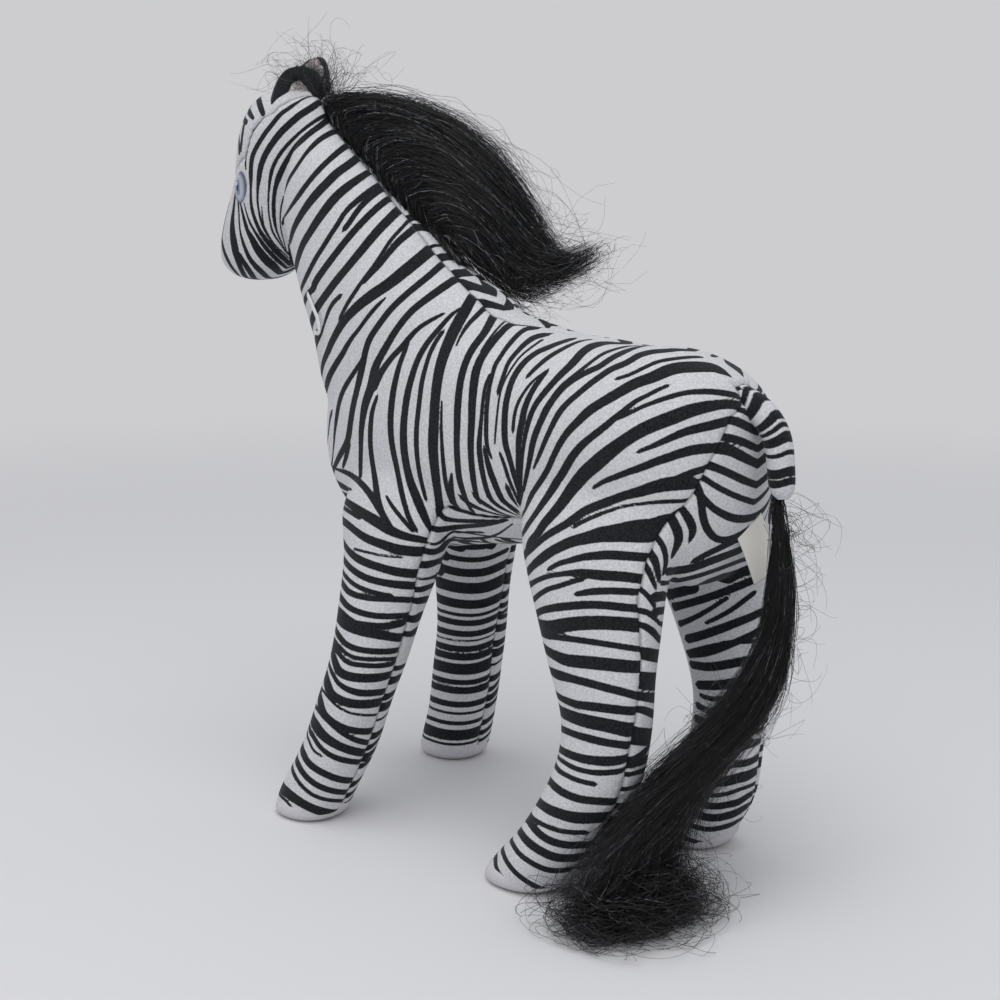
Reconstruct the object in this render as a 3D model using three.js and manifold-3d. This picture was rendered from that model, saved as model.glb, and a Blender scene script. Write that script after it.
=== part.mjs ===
// Plush zebra standing on four stuffed legs, about 30 cm tall to its ear tips.
// Millimetres, +Z up. The animal faces -Y, its left side is +X and its midplane is X = 0
// until the finished model is centred over its footprint at the end.
//
// Each stuffed part is a printed velour cover round a core of fibre filling. The covers are
// sewn from a left and a right panel, or an outer and an inner one on a leg, with a gusset
// where the real toy has one. A part that grows out of a larger one is cut off at its seam.

import * as THREE from 'three';
import { mergeVertices } from 'three/addons/utils/BufferGeometryUtils.js';
import Module from 'manifold-3d';

const wasm = await Module();
wasm.setup();

// Cloth and sewing
const CLOTH = 1.2; // thickness of the velour with its backing
const GAP = 0.3; // space left between two pieces that touch
const FACETS = 16; // sides of a stuffed section
const ROUNDNESS = 2.2; // superellipse power of a stuffed section, 2 is an ellipse

// Torso
const CHEST_Y = -80;
const RUMP_Y = 113;
const WITHERS_Z = 203;
const SADDLE_Z = 190;
const CROUP_Z = 187;
const BRISKET_Z = 104;
const BELLY_Z = 110;
const BARREL_HALF = 34;
const HAUNCH_HALF = 36;
const BELLY_GUSSET_HALF = 15;

// Neck and head
const POLL_Z = 281;
const NECK_BASE_HALF = 30;
const NECK_TOP_HALF = 20;
const CREST_GUSSET_HALF = 7;
const FACE_Y = -141;
const CHEEK_HALF = 20.5;
const MUZZLE_HALF = 14.5;
const CHIN_Z = 204.5;
const BROW_GUSSET_HALF = 8;

// Legs
const FORELEG_HALF = 14;
const HINDLEG_HALF = 15;
const THIGH_DEPTH = 32;
const SOLE_THICK = 1.4;

// Ears and eyes
const EAR_WIDTH = 24;
const EAR_HEIGHT = 28;
const EAR_CUP = 4;
const EAR_CLOTH = 1.1;
const EAR_LINING = 0.8;
const EAR_FOLD_DEG = 12;
const EYE_LENGTH = 12;
const EYE_HEIGHT = 9;
const EYE_THICK = 0.7;

// Mane
const WEFT_HEIGHT = 3;
const WEFT_DEPTH = 7; // how tall the band is cut before the crest takes its foot away
const WEFT_THICK = 1.6;
const MANE_ROOT_HALF = 2;
const MANE_BULK = 10;

// Tail
const TAIL_RADIUS = 5;
const TAIL_LIFT_DEG = 50;
const TAIL_HAIR_RADIUS = 6;
const HAIR_SWAY_DEG = [-8, 6];
const PILE_HALF_LENGTH = 38;
const PILE_HALF_DEPTH = 21;
const PILE_TOP = 20;

// Sewn-in label and tag loop
const LABEL_X = 11.5; // its middle, left of the toy's middle
const LABEL_WIDTH = 14;
const LABEL_TOP = 132;
const LABEL_DROP = 20;
const LABEL_FLARE = 4; // how far its free end stands out
const LABEL_THICK = 0.5;
const TAG_WIRE = 0.8;
const TAG_LENGTH = 16;
const TAG_WIDTH = 6;
const TAG_STAND = 2.5; // how far its foot stands out of the seam

const rad = THREE.MathUtils.degToRad;
const vec = (x, y, z) => new THREE.Vector3(x, y, z);

// Section of a part that is drawn from the side: the (y, z) of its two edges and a half width.
function edgeSection(lowY, lowZ, highY, highZ, half, x = 0) {
  return {
    mid: vec(x, (lowY + highY) / 2, (lowZ + highZ) / 2),
    side: vec(half, 0, 0),
    depth: vec(0, (highY - lowY) / 2, (highZ - lowZ) / 2),
  };
}

// Sections square to a path of [x, y, z, half width, half depth] rows.
function pathSections(rows) {
  return rows.map(([x, y, z, half, halfDepth], i) => {
    const before = rows[Math.max(i - 1, 0)];
    const after = rows[Math.min(i + 1, rows.length - 1)];
    const along = vec(after[0] - before[0], after[1] - before[1], after[2] - before[2]).normalize();
    const side = vec(1, 0, 0).addScaledVector(along, -along.x).normalize();
    const depth = along.clone().cross(side);
    return { mid: vec(x, y, z), side: side.multiplyScalar(half), depth: depth.multiplyScalar(halfDepth) };
  });
}

// Sections in between the given ones, on a Catmull-Rom curve through them.
function smooth(sections, steps) {
  const curves = ['mid', 'side', 'depth'].map(
    (key) => new THREE.CatmullRomCurve3(sections.map((s) => s[key]), false, 'catmullrom', 0.5),
  );
  const count = (sections.length - 1) * steps;
  return Array.from({ length: count + 1 }, (_, i) => {
    const [mid, side, depth] = curves.map((curve) => curve.getPoint(i / count));
    return { mid, side, depth };
  });
}

// Closed indexed surface through the sections, with a point in the middle of each end.
function loft(sections, facets = FACETS, power = ROUNDNESS) {
  const points = [];
  const round = (t) => Math.sign(t) * Math.abs(t) ** (2 / power);
  for (const { mid, side, depth } of sections) {
    for (let k = 0; k < facets; k++) {
      const angle = (2 * Math.PI * k) / facets;
      points.push(
        mid.clone().addScaledVector(side, round(Math.cos(angle))).addScaledVector(depth, round(Math.sin(angle))),
      );
    }
  }
  const last = sections.length - 1;
  const firstPole = points.push(sections[0].mid.clone()) - 1;
  const lastPole = points.push(sections[last].mid.clone()) - 1;
  const index = [];
  for (let k = 0; k < facets; k++) {
    const next = (k + 1) % facets;
    index.push(firstPole, next, k, lastPole, last * facets + k, last * facets + next);
    for (let ring = 0; ring < last; ring++) {
      const a = ring * facets;
      const b = a + facets;
      index.push(a + k, a + next, b + next, a + k, b + next, b + k);
    }
  }
  return outward(new THREE.BufferGeometry().setFromPoints(points).setIndex(index));
}

// The same surface with its faces turned outwards: the signed volume tells which way they are.
function outward(geometry) {
  const place = geometry.attributes.position;
  const index = geometry.index.array;
  const corner = (n) => new THREE.Vector3().fromBufferAttribute(place, index[n]);
  let volume = 0;
  for (let n = 0; n < index.length; n += 3) {
    volume += corner(n).dot(corner(n + 1).cross(corner(n + 2)));
  }
  if (volume < 0) geometry.setIndex(Array.from(index).reverse());
  return geometry;
}

// The surface moved out along its own normals, or in for a negative distance.
function grown(geometry, distance) {
  const copy = geometry.clone();
  copy.computeVertexNormals();
  const place = copy.attributes.position;
  const normal = copy.attributes.normal;
  for (let n = 0; n < place.count; n++) {
    const moved = new THREE.Vector3().fromBufferAttribute(place, n);
    moved.addScaledVector(new THREE.Vector3().fromBufferAttribute(normal, n), distance);
    place.setXYZ(n, moved.x, moved.y, moved.z);
  }
  return copy;
}

function solidOf(geometry) {
  const bare = geometry.clone();
  bare.deleteAttribute('normal');
  bare.deleteAttribute('uv');
  const merged = mergeVertices(bare, 1e-4);
  return new wasm.Manifold(
    new wasm.Mesh({
      numProp: 3,
      vertProperties: new Float32Array(merged.attributes.position.array),
      triVerts: new Uint32Array(merged.index.array),
    }),
  );
}

function geometryOf(solid) {
  const mesh = solid.getMesh();
  const geometry = new THREE.BufferGeometry();
  geometry.setAttribute('position', new THREE.BufferAttribute(new Float32Array(mesh.vertProperties), 3));
  geometry.setIndex(new THREE.BufferAttribute(new Uint32Array(mesh.triVerts), 1));
  return geometry;
}

function block(low, high) {
  const size = vec(high[0] - low[0], high[1] - low[1], high[2] - low[2]);
  const box = new THREE.BoxGeometry(size.x, size.y, size.z);
  box.translate((low[0] + high[0]) / 2, (low[1] + high[1]) / 2, (low[2] + high[2]) / 2);
  return solidOf(box);
}

// Far enough to reach past the whole toy in any direction.
const FAR = 600;
const leftOf = (x) => block([x, -FAR, -FAR], [FAR, FAR, FAR]);
const rightOf = (x) => block([-FAR, -FAR, -FAR], [x, FAR, FAR]);
const above = (z) => block([-FAR, -FAR, z], [FAR, FAR, FAR]);

// Outline points moved out by a distance, each along the mitre of its two edges.
function spread(outline, distance) {
  const turned = THREE.ShapeUtils.area(outline.map(([y, z]) => new THREE.Vector2(y, z))) < 0 ? -1 : 1;
  return outline.map(([y, z], n) => {
    const [y0, z0] = outline.at(n - 1);
    const [y1, z1] = outline[(n + 1) % outline.length];
    const before = new THREE.Vector2(z - z0, y0 - y).normalize();
    const after = new THREE.Vector2(z1 - z, y - y1).normalize();
    const mitre = before.clone().add(after).normalize();
    const reach = (turned * distance) / Math.max(mitre.dot(after), 0.3);
    return [y + mitre.x * reach, z + mitre.y * reach];
  });
}

// Prism across the toy, from a (y, z) outline and a half width.
function prism(outline, half) {
  const shape = new THREE.Shape(outline.map(([y, z]) => new THREE.Vector2(y, z)));
  const body = new THREE.ExtrudeGeometry(shape, { depth: 2 * half, bevelEnabled: false });
  body.translate(0, 0, -half);
  const turn = new THREE.Matrix4().makeBasis(vec(0, 1, 0), vec(0, 0, 1), vec(1, 0, 0));
  return solidOf(body.applyMatrix4(turn));
}

// A solid turned about an axis through a point, for the room that a hinged piece needs.
function swung(geometry, pivot, axis, degrees) {
  const copy = geometry.clone();
  copy.translate(-pivot.x, -pivot.y, -pivot.z);
  copy.applyMatrix4(new THREE.Matrix4().makeRotationAxis(axis, rad(degrees)));
  copy.translate(pivot.x, pivot.y, pivot.z);
  return solidOf(copy);
}

// Room that a fixed neighbour takes up as seen from a hinged piece over its whole range.
function sweptRoom(neighbour, pivot, axis, [low, high], steps = 4) {
  const room = grown(neighbour, GAP);
  let solid = solidOf(room);
  for (let n = 0; n <= steps; n++) {
    const turn = low + ((high - low) * n) / steps;
    if (turn !== 0) solid = solid.add(swung(room, pivot, axis, -turn));
  }
  return solid;
}

// Cloth wall and filling of a stuffed form, both cut off by its larger neighbours. The filling
// takes every other corner of the wall's sections, so that it lies inside the wall.
function stuffed(sections, neighbours) {
  const form = loft(sections);
  const core = loft(sections, FACETS / 2);
  const seams = neighbours.map((n) => solidOf(grown(n, GAP)));
  const cut = (solid) => seams.reduce((rest, seam) => rest.subtract(seam), solid);
  return {
    wall: cut(solidOf(form).subtract(solidOf(grown(form, -CLOTH)))),
    filling: cut(solidOf(grown(core, -CLOTH - GAP))),
  };
}

// A wall cut into a left and a right panel, with a gusset between them inside the outline.
function panels(wall, outline, half) {
  const gussetRoom = prism(spread(outline, GAP), half + GAP);
  const sides = wall.subtract(gussetRoom);
  return {
    left: sides.intersect(leftOf(GAP / 2)),
    right: sides.intersect(rightOf(-GAP / 2)),
    gusset: wall.intersect(prism(outline, half)),
  };
}

const model = new THREE.Group();

function finish(color, roughness, metalness = 0) {
  return { color, roughness, metalness };
}
const PRINT = finish(0x8a8a8e, 0.95);
const PRINT_DARK = finish(0x6f7074, 0.95);
const FILLING = finish(0xf4f2ec, 1);
const SOLE = finish(0xd8d6da, 0.95);
const BLACK_CLOTH = finish(0x1d1e21, 0.95);
const PINK_CLOTH = finish(0xd9a6a0, 0.95);
const HAIR = finish(0x121214, 0.45);
const SATIN = finish(0xeceaea, 0.5);
const THREAD_BLUE = finish(0x6f86b0, 0.6);
const NYLON = finish(0xf2f2f2, 0.35);

function place(name, solid, look) {
  const mesh = new THREE.Mesh(geometryOf(solid), new THREE.MeshStandardMaterial(look));
  mesh.name = name;
  model.add(mesh);
  return mesh;
}

// Torso: belly edge, back edge and half width, from the chest to the rump.
const TORSO_ROWS = [
  edgeSection(CHEST_Y + 1, 138, CHEST_Y, 150, 6),
  edgeSection(CHEST_Y + 7, 120, CHEST_Y + 4, 168, BARREL_HALF - 15),
  edgeSection(CHEST_Y + 20, BRISKET_Z + 4, CHEST_Y + 18, WITHERS_Z - 15, BARREL_HALF - 7),
  edgeSection(-42, BRISKET_Z, -38, WITHERS_Z - 3, BARREL_HALF - 3),
  edgeSection(-18, BRISKET_Z + 1, -14, WITHERS_Z, BARREL_HALF - 1),
  edgeSection(20, BELLY_Z, 22, SADDLE_Z + 3, BARREL_HALF),
  edgeSection(56, BELLY_Z, 58, SADDLE_Z - 1, HAUNCH_HALF - 0.5),
  edgeSection(78, BELLY_Z - 6, 82, CROUP_Z, HAUNCH_HALF),
  edgeSection(RUMP_Y - 18, BELLY_Z - 4, RUMP_Y - 14, CROUP_Z - 5, HAUNCH_HALF - 5),
  edgeSection(RUMP_Y - 6, BELLY_Z + 10, RUMP_Y - 4, CROUP_Z - 14, HAUNCH_HALF - 16),
  edgeSection(RUMP_Y, BELLY_Z + 30, RUMP_Y, CROUP_Z - 29, HAUNCH_HALF - 29),
];
const torso = loft(TORSO_ROWS);

// Neck: throat edge, crest edge and half width, from inside the torso to inside the head.
const NECK_ROWS = [
  edgeSection(CHEST_Y + 20, 132, 12, SADDLE_Z - 4, NECK_BASE_HALF - 5),
  edgeSection(CHEST_Y + 4, 147, 0, WITHERS_Z - 3, NECK_BASE_HALF - 2),
  edgeSection(-85, 163, -17, WITHERS_Z + 6, NECK_BASE_HALF - 2),
  edgeSection(-90, 180, -35, POLL_Z - 57, (NECK_BASE_HALF + NECK_TOP_HALF) / 2),
  edgeSection(-97, 197, -56, POLL_Z - 38, NECK_TOP_HALF + 2.5),
  edgeSection(-103, 213, -75, POLL_Z - 21, NECK_TOP_HALF),
  edgeSection(-108, 226, -88, POLL_Z - 11, NECK_TOP_HALF - 3),
];
const neck = loft(NECK_ROWS);

// Head: jaw edge, face edge and half width, from the poll down to the lips.
const HEAD_ROWS = [
  edgeSection(-108, POLL_Z, -118, POLL_Z, 5),
  edgeSection(-99, POLL_Z - 3, FACE_Y + 12, POLL_Z - 2, 12),
  edgeSection(-92, POLL_Z - 11, FACE_Y + 5, POLL_Z - 9, CHEEK_HALF - 2.5),
  edgeSection(-93, POLL_Z - 26, FACE_Y + 1, POLL_Z - 21, CHEEK_HALF),
  edgeSection(-99, POLL_Z - 41, FACE_Y, POLL_Z - 35, CHEEK_HALF),
  edgeSection(-107, POLL_Z - 55, FACE_Y - 4, POLL_Z - 48, (CHEEK_HALF + MUZZLE_HALF) / 2),
  edgeSection(-112, CHIN_Z + 11.5, FACE_Y - 10, CHIN_Z + 16.5, MUZZLE_HALF + 1.5),
  edgeSection(-119, CHIN_Z + 4.5, FACE_Y - 11, CHIN_Z + 8.5, MUZZLE_HALF),
  edgeSection(-128, CHIN_Z + 0.5, FACE_Y - 6, CHIN_Z + 2.5, MUZZLE_HALF - 5.5),
  edgeSection(-134, CHIN_Z, FACE_Y, CHIN_Z, 3),
];
const head = loft(HEAD_ROWS);

// The torso cover: two sides, and a gusset under the belly that runs up behind to the tail.
function buildTorso() {
  const { wall, filling } = stuffed(TORSO_ROWS, []);
  const bellyGusset = [
    [CHEST_Y + 26, BRISKET_Z + 22],
    [RUMP_Y - 32, BELLY_Z + 22],
    [RUMP_Y - 18, CROUP_Z - 24],
    [RUMP_Y + 20, CROUP_Z - 20],
    [RUMP_Y + 20, BELLY_Z - 30],
    [CHEST_Y + 26, BRISKET_Z - 30],
  ];
  const { left, right, gusset } = panels(wall, bellyGusset, BELLY_GUSSET_HALF);
  place('body_left_panel', left, PRINT);
  place('body_right_panel', right, PRINT_DARK);
  place('belly_gusset', gusset, PRINT);
  place('body_filling', filling, FILLING);
}

// The neck cover: two sides and the strip along the crest that the mane is sewn to.
function buildNeck() {
  const { wall, filling } = stuffed(NECK_ROWS, [torso, head]);
  const crest = [
    [30, SADDLE_Z - 30],
    [30, SADDLE_Z + 60],
    [-70, POLL_Z + 40],
    [-100, POLL_Z + 10],
    [-88, POLL_Z - 26],
    [-66, POLL_Z - 41],
    [-10, WITHERS_Z - 18],
  ];
  const { left, right, gusset } = panels(wall, crest, CREST_GUSSET_HALF);
  place('neck_left_panel', left, PRINT_DARK);
  place('neck_right_panel', right, PRINT);
  place('crest_gusset', gusset, PRINT_DARK);
  place('neck_filling', filling, FILLING);
}

// The head cover: two sides and the brow strip from the poll down to the nose.
function buildHead() {
  const { wall, filling } = stuffed(HEAD_ROWS, []);
  const brow = [
    [-104, POLL_Z + 20],
    [-112, POLL_Z - 14],
    [FACE_Y + 14, POLL_Z - 30],
    [FACE_Y + 10, CHIN_Z + 26],
    [FACE_Y + 2, CHIN_Z + 8],
    [FACE_Y - 40, CHIN_Z + 8],
    [FACE_Y - 40, POLL_Z + 20],
  ];
  const { left, right, gusset } = panels(wall, brow, BROW_GUSSET_HALF);
  place('head_left_panel', left, PRINT);
  place('head_right_panel', right, PRINT_DARK);
  place('brow_gusset', gusset, PRINT_DARK);
  place('head_filling', filling, FILLING);
}

// Leg centre lines: x, y, z, half width and half depth, from inside the torso to the sole.
// The toy stands a little unevenly: its right hind foot is set back.
const LEGS = {
  front_left: [
    [20, -26, 142, FORELEG_HALF - 5, 20],
    [24, -27, 122, FORELEG_HALF, 24],
    [29, -28, 102, FORELEG_HALF + 1, 19],
    [35, -31, 77, FORELEG_HALF + 0.5, FORELEG_HALF + 1.5],
    [40, -38, 50, FORELEG_HALF, FORELEG_HALF],
    [43.5, -47, 25, FORELEG_HALF, FORELEG_HALF],
    [46, -55, 8, FORELEG_HALF, FORELEG_HALF + 0.5],
    [48, -60, -4, FORELEG_HALF - 1, FORELEG_HALF],
  ],
  front_right: [
    [-20, -30, 142, FORELEG_HALF - 5, 20],
    [-25, -34, 122, FORELEG_HALF, 24],
    [-31, -40, 102, FORELEG_HALF + 1, 18],
    [-36, -46, 77, FORELEG_HALF + 0.5, FORELEG_HALF + 1],
    [-39, -51, 50, FORELEG_HALF, FORELEG_HALF],
    [-41, -57, 25, FORELEG_HALF, FORELEG_HALF],
    [-42, -62, 8, FORELEG_HALF, FORELEG_HALF + 0.5],
    [-43, -66, -4, FORELEG_HALF - 1, FORELEG_HALF],
  ],
  hind_left: [
    [16, 66, 152, HINDLEG_HALF - 3, THIGH_DEPTH - 2],
    [24, 68, 130, HINDLEG_HALF + 2, THIGH_DEPTH],
    [31, 71, 108, HINDLEG_HALF + 2, THIGH_DEPTH - 6],
    [34, 77, 84, HINDLEG_HALF + 1, THIGH_DEPTH - 12],
    [36, 80, 62, HINDLEG_HALF, HINDLEG_HALF + 1],
    [38, 77, 42, HINDLEG_HALF, HINDLEG_HALF + 0.5],
    [40, 66, 22, HINDLEG_HALF, HINDLEG_HALF + 1.5],
    [41, 55, 8, HINDLEG_HALF, HINDLEG_HALF + 2],
    [43, 45, -4, HINDLEG_HALF - 2, HINDLEG_HALF],
  ],
  hind_right: [
    [-16, 68, 152, HINDLEG_HALF - 3, THIGH_DEPTH - 2],
    [-22, 72, 130, HINDLEG_HALF + 2, THIGH_DEPTH],
    [-25, 80, 108, HINDLEG_HALF + 2, THIGH_DEPTH - 6],
    [-26, 88, 84, HINDLEG_HALF + 1, THIGH_DEPTH - 12],
    [-26, 92, 62, HINDLEG_HALF, HINDLEG_HALF + 1],
    [-26, 89, 42, HINDLEG_HALF, HINDLEG_HALF + 1],
    [-27, 80, 22, HINDLEG_HALF, HINDLEG_HALF + 2],
    [-28, 70, 8, HINDLEG_HALF, HINDLEG_HALF + 2],
    [-29, 61, -4, HINDLEG_HALF - 2, HINDLEG_HALF],
  ],
};
const legForm = (rows) => loft(pathSections(rows));

// Block on the side of the leg's centre line that faces away from the midplane.
function outerSide(rows, inset) {
  const side = Math.sign(rows[0][0]);
  const centre = rows.map(([x, , z]) => [x, z]);
  const shape = new THREE.Shape([
    new THREE.Vector2(side * FAR, centre[0][1] + FAR),
    ...[[centre[0][0], centre[0][1] + FAR], ...centre, [centre.at(-1)[0], -FAR]].map(
      ([x, z]) => new THREE.Vector2(x + side * inset, z),
    ),
    new THREE.Vector2(side * FAR, -FAR),
  ]);
  const body = new THREE.ExtrudeGeometry(shape, { depth: 2 * FAR, bevelEnabled: false });
  body.translate(0, 0, -FAR);
  body.applyMatrix4(new THREE.Matrix4().makeBasis(vec(1, 0, 0), vec(0, 0, 1), vec(0, -1, 0)));
  return solidOf(body);
}

// A leg: an outer and an inner panel down its length, its filling and a flat sole.
function buildLeg(name, rows) {
  const { wall, filling } = stuffed(pathSections(rows), [torso]);
  const overSole = above(SOLE_THICK + GAP);
  const outline = wall.intersect(overSole);
  place(`${name}_leg_outer`, outline.intersect(outerSide(rows, GAP / 2)), PRINT);
  place(`${name}_leg_inner`, outline.subtract(outerSide(rows, -GAP / 2)), PRINT_DARK);
  place(`${name}_leg_filling`, filling.intersect(overSole), FILLING);
  const slab = block([-FAR, -FAR, 0], [FAR, FAR, SOLE_THICK]);
  place(`${name}_sole`, solidOf(legForm(rows)).intersect(slab), SOLE);
}

// Closed sheet of even thickness over surface(u, v), with u and v from 0 to 1.
function sheet(surface, across, up, thickness) {
  const step = 1e-3;
  const points = [];
  const row = across + 1;
  const layer = row * (up + 1);
  for (const offset of [thickness / 2, -thickness / 2]) {
    for (let j = 0; j <= up; j++) {
      for (let i = 0; i <= across; i++) {
        const u = THREE.MathUtils.clamp(i / across, step, 1 - step);
        const v = THREE.MathUtils.clamp(j / up, step, 1 - step);
        const alongU = surface(u + step, v).sub(surface(u - step, v));
        const alongV = surface(u, v + step).sub(surface(u, v - step));
        const normal = alongU.cross(alongV).normalize();
        points.push(surface(i / across, j / up).addScaledVector(normal, offset));
      }
    }
  }
  const index = [];
  const quad = (a, b, c, d) => index.push(a, b, c, a, c, d);
  for (let j = 0; j < up; j++) {
    for (let i = 0; i < across; i++) {
      const a = j * row + i;
      quad(a, a + 1, a + row + 1, a + row);
      quad(layer + a, layer + a + row, layer + a + row + 1, layer + a + 1);
    }
  }
  const rim = [
    ...Array.from({ length: across }, (_, i) => i),
    ...Array.from({ length: up }, (_, j) => j * row + across),
    ...Array.from({ length: across }, (_, i) => up * row + across - i),
    ...Array.from({ length: up }, (_, j) => (up - j) * row),
  ];
  rim.forEach((a, n) => {
    const b = rim[(n + 1) % rim.length];
    quad(b, a, layer + a, layer + b);
  });
  return outward(new THREE.BufferGeometry().setFromPoints(points).setIndex(index));
}

// Where each ear is sewn on, how far it is turned out and how far it leans away from its hollow.
// The left one is twisted, so that its hollow looks out and a little backwards.
const EARS = {
  left: { root: vec(12, -97, POLL_Z - 10.5), turnDeg: 110, leanDeg: 15 },
  right: { root: vec(-12.5, -101, POLL_Z - 8), turnDeg: 28, leanDeg: 2 },
};

// Cupped ear blade with a round tip, hollow side towards -Y before it is turned into place.
function earSurface(forward) {
  const tipAngle = rad(84);
  return (u, v) => {
    const rise = Math.sin(v * tipAngle);
    const half = (EAR_WIDTH / 2) * Math.cos(v * tipAngle) ** 0.55;
    const across = 2 * u - 1;
    const cup = EAR_CUP * across * across * (1 - 0.5 * v);
    return vec(across * half, -forward - cup, rise * EAR_HEIGHT - 6);
  };
}

// An ear: printed cloth behind and a pink lining in front, free to fold about its root.
function buildEar(side, { root, turnDeg, leanDeg }) {
  const turn = new THREE.Matrix4()
    .makeTranslation(root.x, root.y, root.z)
    .multiply(new THREE.Matrix4().makeRotationZ(rad(turnDeg)))
    .multiply(new THREE.Matrix4().makeRotationX(rad(-leanDeg)));
  const axis = vec(1, 0, 0).applyMatrix4(new THREE.Matrix4().makeRotationZ(rad(turnDeg)));
  const range = [-EAR_FOLD_DEG, EAR_FOLD_DEG];
  const room = sweptRoom(head, root, axis, range).add(sweptRoom(neck, root, axis, range));
  const blade = (forward, thickness) =>
    solidOf(sheet(earSurface(forward), 6, 4, thickness).applyMatrix4(turn)).subtract(room);
  place(`ear_${side}`, blade(0, EAR_CLOTH), BLACK_CLOTH);
  place(`ear_${side}_lining`, blade((EAR_CLOTH + EAR_LINING) / 2 + GAP, EAR_LINING), PINK_CLOTH);
}

// An eye: an oval of embroidery that lies on the curve of the cheek.
function buildEye(side) {
  const sign = side === 'left' ? 1 : -1;
  const oval = new THREE.Shape().absellipse(-127, POLL_Z - 40, EYE_LENGTH / 2, EYE_HEIGHT / 2, 0, 2 * Math.PI);
  const outline = oval.getPoints(16).slice(0, -1).map(({ x, y }) => [x, y]);
  const patch = solidOf(grown(head, GAP + EYE_THICK)).subtract(solidOf(grown(head, GAP)));
  const half = sign > 0 ? leftOf(CHEEK_HALF / 2) : rightOf(-CHEEK_HALF / 2);
  place(`eye_${side}`, patch.intersect(prism(outline, CHEEK_HALF + 5)).intersect(half), THREAD_BLUE);
}

// Straight line just over the crest that the mane turns about.
const CREST_TOP = vec(0, -83, POLL_Z - 11.7);
const CREST_END = vec(0, -22, POLL_Z - 66);
const CREST_LIFT = WEFT_HEIGHT + 0.6 * MANE_ROOT_HALF + GAP; // its root is a tilted oval

// The stitched band of the mane, standing on the crest between the neck and the loose hair.
function buildWeft() {
  const along = CREST_END.clone().sub(CREST_TOP);
  const up = vec(0, -along.z, along.y).normalize();
  const band = (u, v) =>
    CREST_TOP.clone()
      .addScaledVector(along, u)
      .addScaledVector(up, WEFT_HEIGHT - WEFT_DEPTH * (1 - v));
  const room = solidOf(grown(neck, GAP)).add(solidOf(grown(head, GAP))).add(solidOf(grown(torso, GAP)));
  place('mane_weft', solidOf(sheet(band, 6, 1, WEFT_THICK)).subtract(room), BLACK_CLOTH);
}

// The mane: hair from the crest swept back over the right side of the neck to a loose tip.
function buildMane() {
  const along = CREST_END.clone().sub(CREST_TOP).normalize();
  const up = vec(0, -along.z, along.y);
  const root = CREST_TOP.clone().add(CREST_END).multiplyScalar(0.5).addScaledVector(up, CREST_LIFT);
  const rows = [
    [root, 0, 43, MANE_ROOT_HALF],
    [vec(root.x - 9, root.y + 14, root.z + 1), 0.05, 41, MANE_BULK - 3],
    [vec(root.x - 21, root.y + 34, root.z - 11), 0.3, 33, MANE_BULK],
    [vec(root.x - 29, root.y + 53, root.z - 21), 0.5, 21, MANE_BULK - 2],
    [vec(root.x - 32, root.y + 69, root.z - 27), 0.6, 6, MANE_BULK - 6],
  ];
  const sections = rows.map(([mid, droop, half, thick], n) => {
    const next = rows[Math.min(n + 1, rows.length - 1)][0];
    const before = rows[Math.max(n - 1, 0)][0];
    const sweep = next.clone().sub(before).normalize();
    const side = along.clone().lerp(vec(0, 0, -1), droop).normalize();
    const depth = side.clone().cross(sweep).normalize();
    return { mid, side: side.multiplyScalar(half), depth: depth.multiplyScalar(thick) };
  });
  const room = [neck, torso, head].map((form) => solidOf(grown(form, GAP)));
  const hair = room.reduce((rest, form) => rest.subtract(form), solidOf(loft(smooth(sections, 2), 14)));
  place('mane_hair', hair, HAIR);
}

// Tail centre line from the rump down to the knot of the hair.
const TAIL_ROOT = vec(0, RUMP_Y - 5, CROUP_Z - 13);
const TAIL_END = vec(0, RUMP_Y + 8, CROUP_Z - 48);
const TAIL_ROWS = [
  [0, TAIL_ROOT.y - 4, TAIL_ROOT.z + 2, TAIL_RADIUS - 1, TAIL_RADIUS - 1],
  [0, TAIL_ROOT.y + 2, TAIL_ROOT.z - 2, TAIL_RADIUS, TAIL_RADIUS],
  [0, TAIL_END.y - 3, TAIL_END.z + 24, TAIL_RADIUS, TAIL_RADIUS],
  [0, TAIL_END.y + 1, TAIL_END.z + 11, TAIL_RADIUS, TAIL_RADIUS],
  [0, TAIL_END.y, TAIL_END.z, TAIL_RADIUS - 0.5, TAIL_RADIUS - 0.5],
];

// The tail: a stuffed tube that lifts about its seam on the rump.
function buildTail() {
  const form = loft(smooth(pathSections(TAIL_ROWS), 2), 10);
  const room = sweptRoom(torso, TAIL_ROOT, vec(1, 0, 0), [0, TAIL_LIFT_DEG]);
  const openEnd = block([-FAR, -FAR, TAIL_END.z - FAR], [FAR, FAR, TAIL_END.z + CLOTH]);
  const wall = solidOf(form).subtract(solidOf(grown(form, -CLOTH)).add(openEnd));
  place('tail_tube', wall.subtract(room), PRINT);
  const core = solidOf(grown(form, -CLOTH - GAP)).subtract(openEnd).subtract(room);
  place('tail_filling', core, FILLING);
}

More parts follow.
